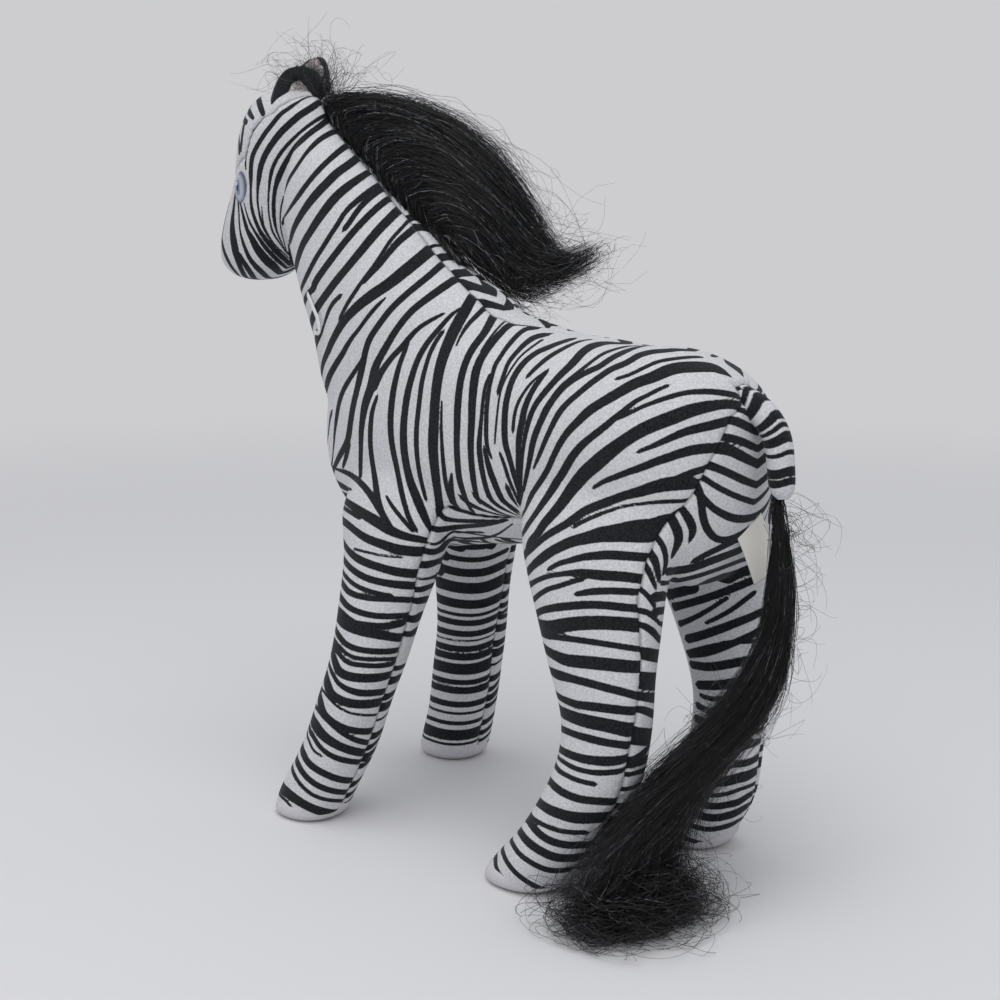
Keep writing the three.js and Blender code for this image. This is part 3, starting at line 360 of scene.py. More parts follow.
# ---- Stuffed cover: the printed stripes -----------------------------------------------------
# The stripes are printed on the cloth before it is cut, so each breaks off at a seam. Bands are
# read in the view above, as x, y, black width in thousandths of the frame.
NECK_AND_BARREL = [
    [265, 116, 1.5, 258, 126, 1.5, 252, 136, 1.5, 248.5, 148, 1.5, 246, 159, 1.5, 246, 169, 1],
    [259, 118.5, 4, 255.5, 126, 3, 252, 135, 1],
    [301, 100.5, 1.5, 291, 107, 3, 281, 114, 3.5, 273.5, 123.5, 3.5, 265, 135, 3.5, 258, 146.5, 3.5,
     253, 156.5, 3.5, 251, 168, 3, 250.5, 180, 3, 250.3, 190, 2.5, 250.5, 200, 3, 252, 210, 3.5,
     255.5, 220, 3.5, 260, 230, 4, 267, 240, 5, 275.5, 250, 5.5, 286, 260, 5, 291, 266, 3],
    [320.5, 102, 5, 312, 108, 5.5, 300.5, 115, 5.5, 289.5, 124.5, 5.5, 280.5, 133.5, 5.5, 272, 145, 5,
     265, 156.5, 5, 260.5, 168, 4.5, 258.5, 179.5, 4, 257.2, 190.5, 3, 257.3, 202, 2.5, 258.6, 210, 2.2,
     261, 220, 2.6, 265.5, 230, 3, 271.5, 240, 2.3, 276.5, 246, 1.8, 283, 252, 1.5, 287, 256, 1],
    [328, 114.5, 2.5, 318, 119.5, 2.5, 306.5, 128, 2.5, 295, 138, 2.5, 286.5, 146.5, 2.5,
     278, 158, 2.5, 272, 170.5, 2.5, 269.3, 185, 2.5, 268.2, 199.5, 2.2, 268.6, 210, 1.8, 270, 220, 1.8,
     272.3, 230, 2.2, 276, 237, 2, 280, 243, 1.6, 283, 248, 1],
    [329.5, 118.5, 5, 320.5, 126.5, 5, 309.5, 135, 5, 298, 146.5, 5, 289.5, 158, 4.5, 282, 170.5, 4.5,
     276.5, 183.5, 4.5, 274, 196.5, 4.2, 273.6, 209.5, 4.2, 274.6, 220.5, 3.6, 276.6, 230, 2.2,
     279.2, 237, 1.8, 282.5, 245, 1.2],
    [340.5, 129.5, 5, 329.5, 134.5, 4.5, 318, 142, 4, 306.5, 155, 2.5, 298, 168, 2.5,
     289.5, 180.5, 2.5, 285, 193.5, 2, 281.3, 206.5, 2, 280.4, 220.5, 1.5, 281.5, 232, 1.3,
     285, 247, 1],
    [352, 142, 5.5, 340.5, 150.5, 5, 329.5, 160.5, 4.5, 320.5, 169.5, 4.5, 309.5, 182, 4,
     300.5, 193.5, 4, 292, 205, 3.5, 285, 216.5, 3, 283, 223, 3],
    [360.5, 155, 7, 349.5, 165, 7.5, 338, 173.5, 8, 326.5, 185, 8, 315, 196.5, 8, 306.5, 206.5, 7,
     299.5, 216.5, 6, 293.5, 228, 5.5, 290.7, 239.5, 4.5, 290, 250.5, 3.5, 291.5, 262, 2.5,
     294, 275, 2, 296, 285, 1],
    [372, 170.5, 5, 359.5, 179.5, 6.5, 348, 188, 7.5, 336.5, 198, 8, 326.5, 209.5, 8, 318, 220.5, 7.5,
     310.5, 232, 7, 303.5, 243.5, 6.5, 299.5, 255, 5.5, 297, 266.5, 5, 296.5, 278, 4.5, 298, 292, 3,
     299, 300, 1],
    [383.5, 183, 5, 370.5, 191.5, 5, 358, 201.5, 4.5, 346.5, 211.5, 3.5, 338, 224.5, 3.5,
     330.5, 235.5, 3.5, 323.5, 247, 3.5, 316.5, 258.5, 3.5, 309.5, 273, 3.5, 303.5, 287, 3,
     300.7, 298.5, 2.5, 301, 308, 1.5],
    [376.5, 193, 5, 365, 203, 4.5, 356.5, 213, 4, 349.5, 223, 4, 345, 228.5, 3.5],
    [393.5, 195.5, 5.5, 383.5, 203, 5.5, 370.5, 214.5, 5.5, 356.5, 228.5, 5.5, 345, 241.5, 5.5,
     335, 254.5, 5.5, 325, 268.5, 5.5, 316.5, 281.5, 5.5, 314, 289, 5, 308.5, 295, 4.5, 305, 307, 4,
     305, 320, 3.5, 306.5, 331.5, 2],
    [401.5, 207, 8, 390.5, 218.5, 8, 376.5, 233, 8, 362, 250, 7.5, 348, 267, 7, 335, 283, 7,
     326.5, 294.5, 7, 319.5, 304.5, 7, 314.5, 315, 6.5, 311, 330, 5.5, 311, 346, 4],
    [318, 334, 5, 316, 346, 5, 318, 360, 4, 321, 374, 2],
    [340.7, 296.5, 3.5, 333.5, 303, 3.5, 328, 313, 3, 324.5, 324, 2],
    [409.5, 220, 2.5, 399.5, 231.5, 2.5, 390.5, 241.5, 2.5, 382, 254.5, 2.5, 373.5, 267, 2.5,
     365, 278.5, 2.5, 356.5, 291.5, 3, 348, 304.5, 3, 340.7, 318, 2.5],
    [416.5, 227, 6, 408, 234.5, 6, 398, 243, 5.5, 388, 254.5, 4.5, 379.5, 265.5, 4, 372, 273, 4,
     365, 281.5, 3],
    [430.5, 250, 11, 416.5, 261.5, 11, 402, 273, 11, 388, 284.5, 10, 373.5, 294.5, 10, 359.5, 305.5, 9,
     348, 317, 8, 340.5, 327, 7.5, 333.5, 340, 6.5, 329.5, 350, 6, 324, 364, 4.5, 322, 376, 3,
     321.5, 390, 1.5],
    [385, 298.5, 1.5, 376.5, 307, 3, 368, 317, 3, 359.5, 328.5, 3, 350.5, 340, 3.5, 342, 356, 5,
     334, 370, 5.5, 329, 382, 6, 326, 394, 5.5, 325, 406, 4.5, 326, 418, 3, 327, 431, 1],
    [332.4, 413, 2, 330, 422, 1.5, 328.4, 438, 1],
    [443.5, 263, 5.5, 430.5, 274.5, 5.5, 418, 284.5, 5.5, 403.5, 297, 5.5, 390.5, 310, 5.5,
     379, 325, 5.5, 370.5, 337, 5.5, 366, 348, 5.5, 363.5, 360, 5.5, 361, 374, 6, 358, 390, 5.5,
     355, 404, 5.5, 352, 420, 5.5, 349, 436, 6, 346, 444, 6, 339, 456, 5, 335, 466, 3],
    [363, 358, 3, 356, 370, 3.5, 350, 380, 4, 344, 392, 4, 340, 404, 3.5, 337, 418, 3, 334.4, 432, 2,
     333, 450, 1],
    [349, 444, 4, 346, 456, 4, 343, 466, 2.5],
    [455, 280, 7, 442, 288.5, 7, 428, 298.5, 6.5, 413.5, 310, 6, 403.5, 321.5, 6, 395, 333, 6,
     388, 344.5, 6.5, 380, 358, 7, 375, 370, 8, 373, 384, 9, 370, 394, 8.5, 367, 404, 7.5, 365, 416, 6,
     363, 430, 5, 362, 444, 4, 361, 460, 3.5, 360.6, 476, 3],
    [443, 314, 2, 432, 320, 3, 420, 328, 3.5, 412, 336, 4.5, 404, 346, 5, 394, 356, 5, 386, 366, 5.5,
     380, 376, 6, 376, 386, 6],
    [378, 398, 2.5, 374, 412, 3.5, 372.4, 428, 4, 371.6, 444, 4, 372.4, 460, 4, 374, 474, 4.5,
     376, 488, 5.5, 378, 500, 6, 382, 512, 6, 388, 522, 5, 391.5, 528, 4],
    [410, 340, 2, 406, 350, 3.5, 400, 364, 4, 396, 378, 4.5, 393, 394, 5, 391.6, 412, 5, 391.6, 428, 5,
     393, 444, 5, 396, 460, 5, 399, 476, 4.5, 402, 492, 4.5, 406, 508, 4, 410, 520, 4, 416, 530, 3],
    [460, 308, 1.5, 450, 316, 3, 440, 328, 4, 430, 340, 4.5, 422, 352, 5, 416, 364, 5, 411, 378, 5.5,
     407, 394, 6, 405, 412, 6, 404.4, 428, 6.5, 405, 444, 7, 407, 460, 7, 410, 476, 7.5, 414, 490, 8,
     420, 506, 8, 426, 520, 6.5, 430, 528, 4],
    [442, 333, 3, 436, 342, 3.5, 430, 354, 3.5, 426, 366, 3.5, 422, 380, 4, 420, 394, 4, 418.4, 412, 4,
     417.6, 428, 4, 418, 444, 4, 419.4, 460, 3.5, 421.6, 476, 3.5, 424, 490, 3, 426, 499, 2.5],
    [472, 298, 9, 464, 312, 10, 456, 326, 11, 450, 340, 11, 444, 356, 10.5, 440, 370, 10,
     437, 386, 9.5, 435, 404, 9, 434.4, 420, 9, 434, 436, 9, 434.4, 452, 8.5, 436, 468, 8,
     437.6, 484, 7.5, 439, 500, 7, 440, 516, 6, 441, 521, 4],
    [442, 402, 1.5, 441.4, 424, 2, 442.4, 444, 2.5, 444.4, 464, 3, 447, 484, 3.5, 451, 500, 3,
     453, 506, 2],
    [486, 306, 4.5, 478, 314, 4, 468, 324, 3.5, 460, 338, 2, 457, 346, 1.5],
    [496, 311, 8, 491, 321, 8, 484, 334, 7, 474, 348, 6.5, 467, 362, 6, 462, 378, 6, 459, 394, 6,
     457, 412, 6, 456.6, 428, 5.5, 456.6, 444, 5, 458, 460, 5, 460, 476, 5, 464, 490, 4.5, 469, 503, 3],
    [452.6, 474.5, 2, 452, 487, 5, 452.5, 498, 6, 455, 505, 4],
    [509, 318.5, 2, 500, 326, 2, 489, 340, 2, 482, 352, 2],
    [527, 325, 5, 512, 324, 6, 501, 333, 6.5, 490, 346, 6.5, 481, 360, 7, 476, 374, 7.5,
     473.6, 390, 7.5, 472, 404, 7, 471.4, 418, 6.5, 470.7, 433, 6, 470.7, 447, 5.5, 472, 461, 5,
     474.3, 476, 5, 477, 490, 4, 480, 499, 3],
    [490, 376, 2.5, 485.7, 387, 3, 483, 404, 3, 481.4, 418.5, 3, 480, 433, 4, 479.3, 447, 4.5,
     481.4, 461.5, 4.5, 484.3, 475.5, 4, 488.5, 490, 4, 493, 498.5, 3],
    [534.5, 328.5, 3.5, 524.5, 330, 4, 515.5, 337, 4.5, 507, 347, 4.5, 501.5, 355.5, 4,
     495.5, 365.5, 4, 493, 375.5, 3.5, 490, 387, 4, 488.5, 398.5, 4, 487, 411.5, 4, 486.5, 425.5, 4,
     486.5, 440, 3.5, 488.5, 450, 3, 491.5, 457, 2],
    [485, 450, 3, 490, 468.5, 5, 494.5, 480, 5, 500, 493, 5, 505.5, 501.5, 4, 518.5, 510, 2],
    [544.5, 334.5, 4, 534.5, 337, 5, 525.5, 343, 5, 518.5, 350, 4.5, 511.5, 358.5, 4.5, 507, 367, 4,
     504.5, 375.5, 4, 501.5, 384.5, 4, 499.5, 392, 3.5],
    [541.5, 340, 2, 531.5, 347, 2, 520, 357, 2, 511.5, 370, 2, 505.5, 381.5, 2, 501.5, 393, 2,
     499.5, 404.5, 2, 498, 415.5, 2, 496.5, 427, 2, 495, 443, 1.5],
    [571.5, 340, 3, 557, 344.5, 4, 546, 349, 5, 538.5, 352, 5, 528.5, 359, 5.5, 521.5, 367, 6,
     515.5, 376.5, 6, 511.5, 387, 6, 508.5, 398.5, 6, 506.5, 410, 6, 505.5, 421.5, 6, 505, 433, 6,
     505.5, 444.5, 5.5, 508.5, 455.5, 5, 511.5, 467, 4.5, 514.5, 478.5, 4, 518, 490, 2.5,
     519.5, 500, 1.5],
    [590, 341, 1.5, 578.5, 343, 2, 563, 350, 3, 548.5, 358.5, 3.5, 537, 368.5, 3.5, 529.5, 376.5, 3],
    [500.5, 454.5, 2.5, 504.5, 465.5, 3, 508.5, 478.5, 3, 514.5, 491.5, 2.5, 518.5, 501.5, 1.5],
    [508, 488, 4, 511.5, 495.5, 3.5, 518.5, 505.5, 1],
    [546.5, 372, 1.5, 534.5, 381.5, 2, 525.5, 393, 2.5, 518.5, 405.5, 3, 515, 418.5, 3, 513.5, 430, 3],
    [546.5, 373, 3, 540, 381.5, 4, 534.5, 390, 4.5, 530, 398.5, 5, 525.5, 410, 5.5, 523, 421.5, 6,
     520, 433, 6, 518.5, 444.5, 5.5, 518, 455.5, 5, 517.6, 467, 4.5, 518.5, 478.5, 3.5, 520, 493, 2.5,
     520.7, 504.5, 1.5],
]
RUMP = [
    [640, 344, 2, 618, 344, 4.5, 605, 344, 5.5, 593, 347, 6, 583, 353, 6.5, 575, 361.5, 6.5,
     570, 366.5, 6, 561, 375, 5.5, 552, 385, 5, 543, 396, 5, 536, 406, 4.5, 531, 417, 4.5,
     527.5, 428, 4, 524.5, 440, 3.5, 522.5, 452, 3, 521.3, 466, 2.5, 521, 480, 2, 521.4, 492, 1.5],
    [637, 346, 2, 627, 347, 2.5, 613, 351, 2.5, 603, 355, 2.5, 593, 361.5, 2.5, 581.5, 370, 2.5,
     570, 379, 2.5, 560, 388, 2.5, 553, 398, 2.5, 545.5, 409, 2.5, 540, 421.5, 2.5, 534.5, 433, 2.5,
     530.5, 446, 2.5, 528, 459, 2, 525.5, 473, 2, 523.5, 487, 2, 521.7, 504, 1],
    [667, 346, 2, 650, 346, 3, 637, 348.5, 4, 621.5, 355, 5, 610, 361, 5, 600, 367.5, 5, 588.5, 372, 5,
     576.5, 378.5, 4.5, 565, 387, 4.5, 556, 398, 4, 549, 409, 4, 543, 421, 4, 537, 434, 4,
     533, 447, 3.5, 530, 461, 3, 527, 475, 2.5, 524, 490, 2],
    [692, 351, 3, 678, 351, 4, 667, 352.5, 4.5, 653, 354, 5, 640, 357.5, 5, 627, 365, 5, 613, 370, 5,
     601.5, 377, 5, 590, 385, 5, 580, 393.5, 5, 568, 404, 5, 560, 414, 5, 553, 427, 4.5, 546, 441, 4,
     540, 454, 3.5, 533.6, 468, 2],
    [700, 357.5, 2, 690, 358, 2.5, 670, 361, 2.5, 656.5, 364, 2.5, 643, 370, 2.5, 630, 376, 2.5,
     618.3, 379.5, 2.5],
    [719, 371, 8, 712, 368, 10, 700, 367.5, 11.5, 680, 368.5, 11, 666.5, 372, 11, 653, 378, 10,
     640, 382, 9, 626.5, 388.5, 9, 613, 396.5, 8.5, 601.5, 403.5, 8, 590, 411.5, 8, 580, 421.5, 7,
     570, 431.5, 6, 561.5, 443.5, 5.5, 555, 455, 5, 548.5, 468.5, 5, 541.5, 480, 5, 535, 490, 4.5,
     530, 500, 4, 526.5, 510, 3, 523.5, 516.5, 2],
    [667.5, 386.5, 2.5, 656.5, 391, 3, 646.5, 396, 3, 635, 401.5, 3.5, 625, 410, 4.5, 616.5, 417, 5,
     603.5, 428.5, 6, 593.5, 436.5, 6, 583.5, 445, 6.5, 573.5, 456.5, 7, 565, 470, 7, 558.5, 480, 7,
     550, 493.5, 6, 543.5, 503.5, 5, 535, 516.5, 4, 528.5, 526.5, 3.5, 523.5, 536.5, 2],
    [733, 396, 5, 715, 393.5, 5, 700, 393, 4.5, 685, 394, 4, 670, 397.5, 4, 657, 401.5, 3.5,
     643, 406.5, 3, 630, 413, 3, 618, 419, 2.5],
    [738, 406, 8, 725, 405, 8, 712, 406.5, 9.5, 700, 409, 11, 688, 412, 12, 675, 417, 13,
     653.5, 425, 13, 640, 431.5, 12.5, 626.5, 440, 12, 615, 448.5, 13, 605, 456.5, 14, 595, 465, 14,
     585, 473.5, 13, 576.5, 483.5, 12, 568.5, 493.5, 10, 561.5, 503.5, 9, 553.5, 513.5, 8,
     545, 523.5, 7, 538.5, 533.5, 6, 531.5, 541.5, 5, 528.5, 550, 4, 525, 558.5, 3],
    [640, 451.5, 3, 653.5, 446, 4, 667, 440, 5.5, 680, 434, 6.5, 692, 430, 7.5, 705, 427, 8,
     717, 424, 8, 729, 421, 8],
    [594, 487.5, 3, 605, 481, 4, 617, 476.5, 5, 630, 471.5, 5.5, 643, 467, 6.5, 656.5, 461.5, 7,
     668.5, 457.5, 7.5, 680, 453.5, 8, 695, 449.5, 9, 712, 448, 9],
    [697, 484, 9, 690, 483.5, 11, 680, 483, 13, 667, 484, 13, 653.5, 487, 11, 640, 491.5, 9.5,
     626.5, 495, 8, 613.5, 500, 8, 600, 505, 8, 586.5, 510, 7.5, 576.5, 516.5, 7, 565, 525, 6.5,
     553.5, 531.5, 6, 543.5, 538.5, 5, 535, 546.5, 4, 528.5, 553.5, 3],
    [676, 478, 4, 690, 473, 6, 705, 469, 6],
    [681, 501, 3, 660, 501.5, 3, 643.5, 503.5, 2.5, 626.5, 506, 2.5, 610, 511, 2.5, 595, 516.5, 3,
     583.5, 521.5, 3, 575, 526.5, 3],
    [672, 518, 8, 664, 523, 16, 653.5, 530, 22, 640, 531, 22, 626.5, 532, 19, 613.5, 533.5, 16,
     600, 535, 14, 586.5, 538.5, 11, 573.5, 541.5, 10, 561.5, 546.5, 9, 551.5, 551.5, 8.5,
     541.5, 558.5, 8, 533.5, 565, 6, 528.5, 571.5, 4, 526, 578.5, 2],
    [549, 569, 3, 558.5, 564, 4, 570, 561, 4.5, 583.5, 557.5, 6, 596.5, 556, 7, 610, 555, 8,
     626.5, 556, 8, 648, 557.5, 8],
    [527.5, 590, 3, 531.5, 583.5, 4, 543.5, 577.5, 4, 555, 575, 4, 568.5, 573.5, 4.5, 581.5, 573, 7,
     596.5, 575, 9, 613.5, 576, 9, 626.5, 577, 9, 640, 579, 9],
    [532.5, 601.5, 3, 538.5, 595, 4, 548.5, 589, 4, 560, 586, 4, 573.5, 581.5, 4, 583.5, 579, 4],
    [577.5, 594, 4, 593.5, 591.5, 6, 610, 591, 6, 626.5, 591.5, 6, 640, 592.5, 6],
    [537.5, 613.5, 5, 543.5, 610, 6, 556.5, 607.5, 7, 570, 606, 7, 583.5, 605, 7, 600, 605, 7,
     616.5, 606.5, 7, 640, 609, 7],
]
SHOULDER = [
    [339, 470, 2, 350, 474, 4, 360, 482, 5, 370, 494, 6, 378, 506, 6, 388, 522, 5, 392, 528, 4],
    [337, 482, 4, 344, 486, 4, 352, 490, 2],
    [340, 495, 3, 350, 504, 6, 364, 514, 9, 378, 522, 10, 390, 530, 9, 404, 536, 7, 418, 539, 6,
     426, 541, 5],
    [341, 504, 3, 350, 512, 3, 360, 518, 3],
    [387, 497, 2, 394, 508, 3, 402, 518, 3, 412, 530, 3],
    [342, 519, 6, 352, 528, 6, 366, 538, 7, 382, 544, 8, 400, 550, 9, 424, 552, 9],
    [355, 549, 2, 370, 553, 2, 386, 556, 2, 402, 557, 2],
]
FRONT_RINGS = [
    [342.5, 540, 3, 347.5, 550, 5, 360, 560, 7, 380, 567.5, 7, 400, 572.5, 8, 419, 574, 8],
    [342.5, 557.5, 4, 350, 567.5, 5, 365, 577.5, 6, 382.5, 582.5, 6, 400, 585, 7, 417.5, 586, 7],
    [345, 575, 3, 355, 585, 3.5, 372.5, 592.5, 4, 390, 596, 4],
    [343, 582.5, 4, 350, 592.5, 5, 365, 597.5, 5, 385, 599, 5, 412.5, 600, 5],
    [342.5, 597.5, 5, 350, 607.5, 5, 365, 614, 5, 385, 616.5, 5, 410, 615, 5],
    [340.5, 614, 12, 347.5, 622.5, 14, 362.5, 630, 11, 382.5, 635, 8, 402.5, 637.5, 8],
    [357.5, 624, 6, 372.5, 626, 6, 387.5, 626, 6, 407.5, 621, 6],
    [340, 635, 5, 347.5, 645, 5, 362.5, 650, 5, 382.5, 651, 5, 400, 649, 5],
    [339, 645, 3, 350, 656, 3, 370, 659, 3, 397.5, 657.5, 3],
    [337.5, 650, 4, 347.5, 662.5, 4, 365, 665, 4, 382.5, 665, 4, 397.5, 661, 4],
    [335, 660, 6, 340, 672.5, 8, 355, 677.5, 8, 375, 677.5, 8, 392.5, 674, 7],
    [332.5, 672.5, 3, 340, 685, 4, 357.5, 692.5, 6, 375, 692.5, 6, 387.5, 691, 6],
    [327.5, 682.5, 8, 332.5, 695, 8, 347.5, 702.5, 8, 367.5, 704, 8, 385, 701, 8],
    [329, 697.5, 2, 337.5, 706, 2, 350, 712.5, 2, 367.5, 715, 2, 382.5, 714, 2],
    [321, 702.5, 7, 325, 715, 7, 340, 726, 6, 360, 731, 6, 380, 729, 6],
    [324, 717, 3, 340, 731, 4, 357, 740, 5, 375, 743, 5],
    [314, 722.5, 10, 322.5, 735, 10, 337.5, 745, 8, 355, 751, 8, 372.5, 752.5, 7],
    [310, 731, 4, 320, 747.5, 4, 335, 757.5, 5, 352.5, 761, 5, 367.5, 761, 5],
    [307.5, 737.5, 2, 312.5, 750, 2, 321, 756, 2],
    [301, 747.5, 6, 307.5, 762.5, 6, 322.5, 772.5, 6, 340, 779, 6, 361, 780, 6],
    [296, 757.5, 5, 302.5, 772.5, 5, 317.5, 785, 5, 337.5, 791, 5, 359, 791, 5],
    [291, 762.5, 3, 297.5, 780, 3, 312.5, 794, 3, 330, 799, 3, 352.5, 800, 3],
    [282.5, 787.5, 10, 292.5, 796, 9, 307.5, 805, 8, 325, 811, 8, 347.5, 812.5, 8, 357.5, 807.5, 8],
    [294, 809, 2, 305, 816, 2, 322.5, 820, 2],
]
HIND_RINGS = [
    [543, 626, 12, 551, 628, 14, 565, 625, 13, 585, 623, 13, 605, 623, 13, 625, 624, 13, 642, 626, 13],
    [551, 636, 5, 565, 638, 5, 585, 641, 5, 605, 644, 5, 625, 647, 5, 645, 650, 5],
    [555, 654, 8, 567, 660, 11, 585, 662, 12, 605, 664, 12, 625, 666, 12, 645, 667, 11],
    [561, 675, 9, 575, 679, 7, 591, 683, 7, 609, 688, 7, 625, 692, 7, 643, 698, 7],
    [564, 699, 6, 577, 704, 7, 593, 706, 8, 609, 708, 8, 625, 710, 8, 641, 711, 8],
    [564, 713, 11, 577, 718, 12, 593, 722, 13, 609, 725, 13, 625, 729, 14, 637, 730, 14],
    [562, 729, 6, 575, 734, 6, 589, 738, 7, 605, 742, 7, 625, 745, 7, 641, 747, 8],
    [558, 748, 6, 569, 754, 7, 585, 759, 8, 601, 761, 9, 615, 761, 9, 627, 759, 8],
    [560, 759, 3, 571, 766, 4, 585, 771, 4, 601, 773, 5, 617, 772, 5],
    [554, 761, 4, 559, 770, 4, 569, 776, 4, 581, 781, 4, 594, 784, 4],
    [549, 778, 6, 555, 786, 7, 567, 794, 7, 581, 799, 7, 597, 801, 7, 613, 802, 7],
    [537, 800, 7, 547, 808, 9, 559, 813, 10, 573, 817, 11, 589, 818, 11, 613, 816, 10],
    [545, 825, 4, 555, 829, 4, 569, 832, 4, 585, 832, 4],
    [526, 816, 6, 533, 826, 7, 543, 836, 7, 555, 842, 7, 569, 845, 7, 589, 844, 7],
    [518, 828, 7, 527, 840, 8, 539, 849, 8, 553, 856, 8, 567, 858, 8, 583, 856, 8],
    [510, 838, 5, 519, 852, 5, 531, 861, 5, 545, 868, 5, 559, 870, 5, 575, 868, 5],
    [502, 848, 5, 507, 860, 5, 517, 872, 5, 531, 882, 5, 547, 889, 5, 565, 890, 5],
    [496, 856, 4, 497, 868, 4, 505, 880, 4],
    [491, 874, 5, 501, 888, 6, 515, 898, 7, 533, 906, 7, 553, 905, 7],
]
MUZZLE = [
    [231, 203, 1, 228.6, 210, 2.5, 225.6, 220, 3, 223.8, 230, 3, 223.6, 240, 3, 225, 250, 3.5,
     228.5, 260, 3.5, 232, 267, 3, 236.5, 273, 2.5, 241, 278, 1],
    [236, 190, 1, 235.3, 200, 2.3, 234.7, 210, 3, 233.9, 220, 4.3, 234, 230, 6, 234.8, 240, 7.5,
     236.2, 250, 8, 238, 259, 6.5, 241, 269, 5.5, 245.5, 278, 5.5],
    [240.5, 255, 4, 244, 262, 5, 248.6, 270, 6, 253.5, 278, 6],
    [238.6, 190, 1.5, 238.6, 202, 2, 239.6, 212, 1.5, 240.2, 222, 1.8, 241.2, 231, 1.8, 243.2, 240, 3,
     246.5, 250, 4, 250, 258, 4.5, 255, 265, 5.5, 261.5, 272, 6, 266, 276.5, 5],
    [240.8, 204, 1.5, 243, 213, 2.5, 245.5, 222, 3.5, 248, 230, 4, 252.5, 238, 6, 256, 245, 7.5,
     260.5, 252, 8.5, 267, 260, 9, 272.5, 265, 9, 278, 271, 7],
    [244, 203, 1, 247, 214, 1.6, 250.5, 223, 2.3, 254.5, 230, 2.6, 259, 237, 3.5, 264.5, 245, 4.3,
     269.5, 251, 4.5, 278, 260, 4.5, 286, 267, 3],
    [261.6, 207, 1, 262.2, 213, 1.5, 262.8, 219, 1.8, 264, 225, 2],
]
BROW = [
    [258, 90, 4, 259.3, 99, 4, 262, 109, 4, 264, 114, 3],
    [245.7, 100.7, 3, 248.5, 108, 3, 252, 115, 3, 255, 119, 2],
    [240, 112, 5, 243.5, 118, 4, 248.5, 123, 3],
    [239, 128, 3, 242, 131, 3],
    [245.7, 126.5, 2, 243.5, 139.5, 2, 242, 149.5, 2],
    [240.7, 132, 1.5, 240.4, 153, 1.5],
]
CREST = [
    [418, 218, 5, 431, 221, 5, 444, 224, 5],
    [416.5, 227, 5, 428, 230, 6, 442, 234.5, 7, 455, 240, 8],
    [434, 246, 2, 446, 247, 2, 458, 248.5, 2],
    [438, 257, 6, 452, 257.5, 7, 466, 258, 8],
    [452, 274, 8, 474, 274, 8],
    [470, 286, 6, 482, 290, 6, 494, 294, 6],
    [484, 302, 6, 493, 305, 6, 502, 308, 6],
]
BUTTOCK = [
    [738, 409, 5, 748, 414, 5, 759, 419, 5],
    [730, 420, 8, 740, 423.5, 8, 753.5, 430, 8, 764, 434, 7],
    [723, 437, 7, 733, 439, 7, 746.5, 443.5, 7, 756.5, 448.5, 6, 766.5, 452, 6],
    [712, 448, 10, 723, 448.5, 11, 733, 451.5, 10, 746.5, 458.5, 9, 756.5, 463.5, 8, 768, 470, 8],
    [708, 465, 8, 718, 468.5, 7, 730, 473.5, 7, 743.5, 480, 7, 756.5, 485, 6, 770, 490, 6],
    [706.5, 480, 5, 716.5, 486.5, 5, 730, 493.5, 5, 743.5, 499, 5, 756.5, 502.5, 5, 773, 501.5, 4],
    [705, 500, 6, 713.5, 508.5, 6, 725, 515, 7, 736.5, 518.5, 7, 750, 517.5, 6, 763, 511.5, 5,
     775, 505, 4],
    [696.5, 483.5, 6, 700, 493.5, 7, 701.5, 506.5, 7, 703.5, 520, 7, 708.5, 531.5, 7, 716.5, 538.5, 6,
     726.5, 538.5, 5, 738.5, 533.5, 4, 753.5, 523.5, 3, 766.5, 515, 2.5, 775, 507.5, 2],
    [695, 560, 4, 710, 551.5, 5, 723, 545, 5, 740, 536.5, 5, 756.5, 528.5, 4, 766.5, 520, 3],
    [681.5, 508.5, 6, 688.5, 518.5, 8, 693, 530, 7, 690, 540, 3],
    [671.5, 518.5, 8, 676.5, 528.5, 9, 679, 540, 8, 673.5, 555, 3],
    [658.5, 538.5, 5, 665, 550, 5, 666.5, 563.5, 4, 663.5, 573.5, 2],
    [650, 551.5, 7, 656.5, 563.5, 7, 659, 578.5, 4],
    [643.5, 561.5, 5, 650, 573.5, 5, 655, 586.5, 3],
    [640, 588.5, 4, 648, 596.5, 4, 653.5, 606.5, 3],
    [702, 354, 4, 710, 359, 4, 720, 363, 4],
    [732.5, 384, 12, 736.5, 384, 12],
    [741.5, 400, 3, 746.5, 393.5, 3, 751, 390, 3],
    [749, 404, 4, 757, 398.5, 6, 762, 398.5, 6, 769, 406, 4],
]
INNER_FRONT = [
    [421, 542, 1.5, 427, 543, 1.5, 434, 544.5, 2, 440, 542.5, 2, 445, 538.5, 2, 448, 535.5, 1.5],
    [420, 551, 5, 426, 551.5, 5, 433, 552, 5, 439, 550, 4, 444, 546, 4.5],
    [416, 565.5, 6, 423, 565, 6, 429, 564, 6, 435, 562, 4.5, 440, 559.5, 3.5, 444, 556, 4.5],
    [412, 579, 1.5, 418, 579, 1.7, 425, 578.5, 2, 432, 576.5, 2.2, 438, 573.5, 3],
    [410, 590.5, 4.5, 417, 590, 4.5, 423, 588.5, 4.5, 430, 585.5, 3.5, 436, 582, 3],
    [408, 601, 5, 415, 601, 5, 421, 600, 6, 426, 599, 6, 431, 598, 4],
    [405, 619, 6, 411, 619, 6, 416, 618, 7, 421, 615.5, 7, 425, 614, 5],
    [402, 634, 4, 410, 633.5, 5, 415, 631, 6, 420, 629, 6],
]
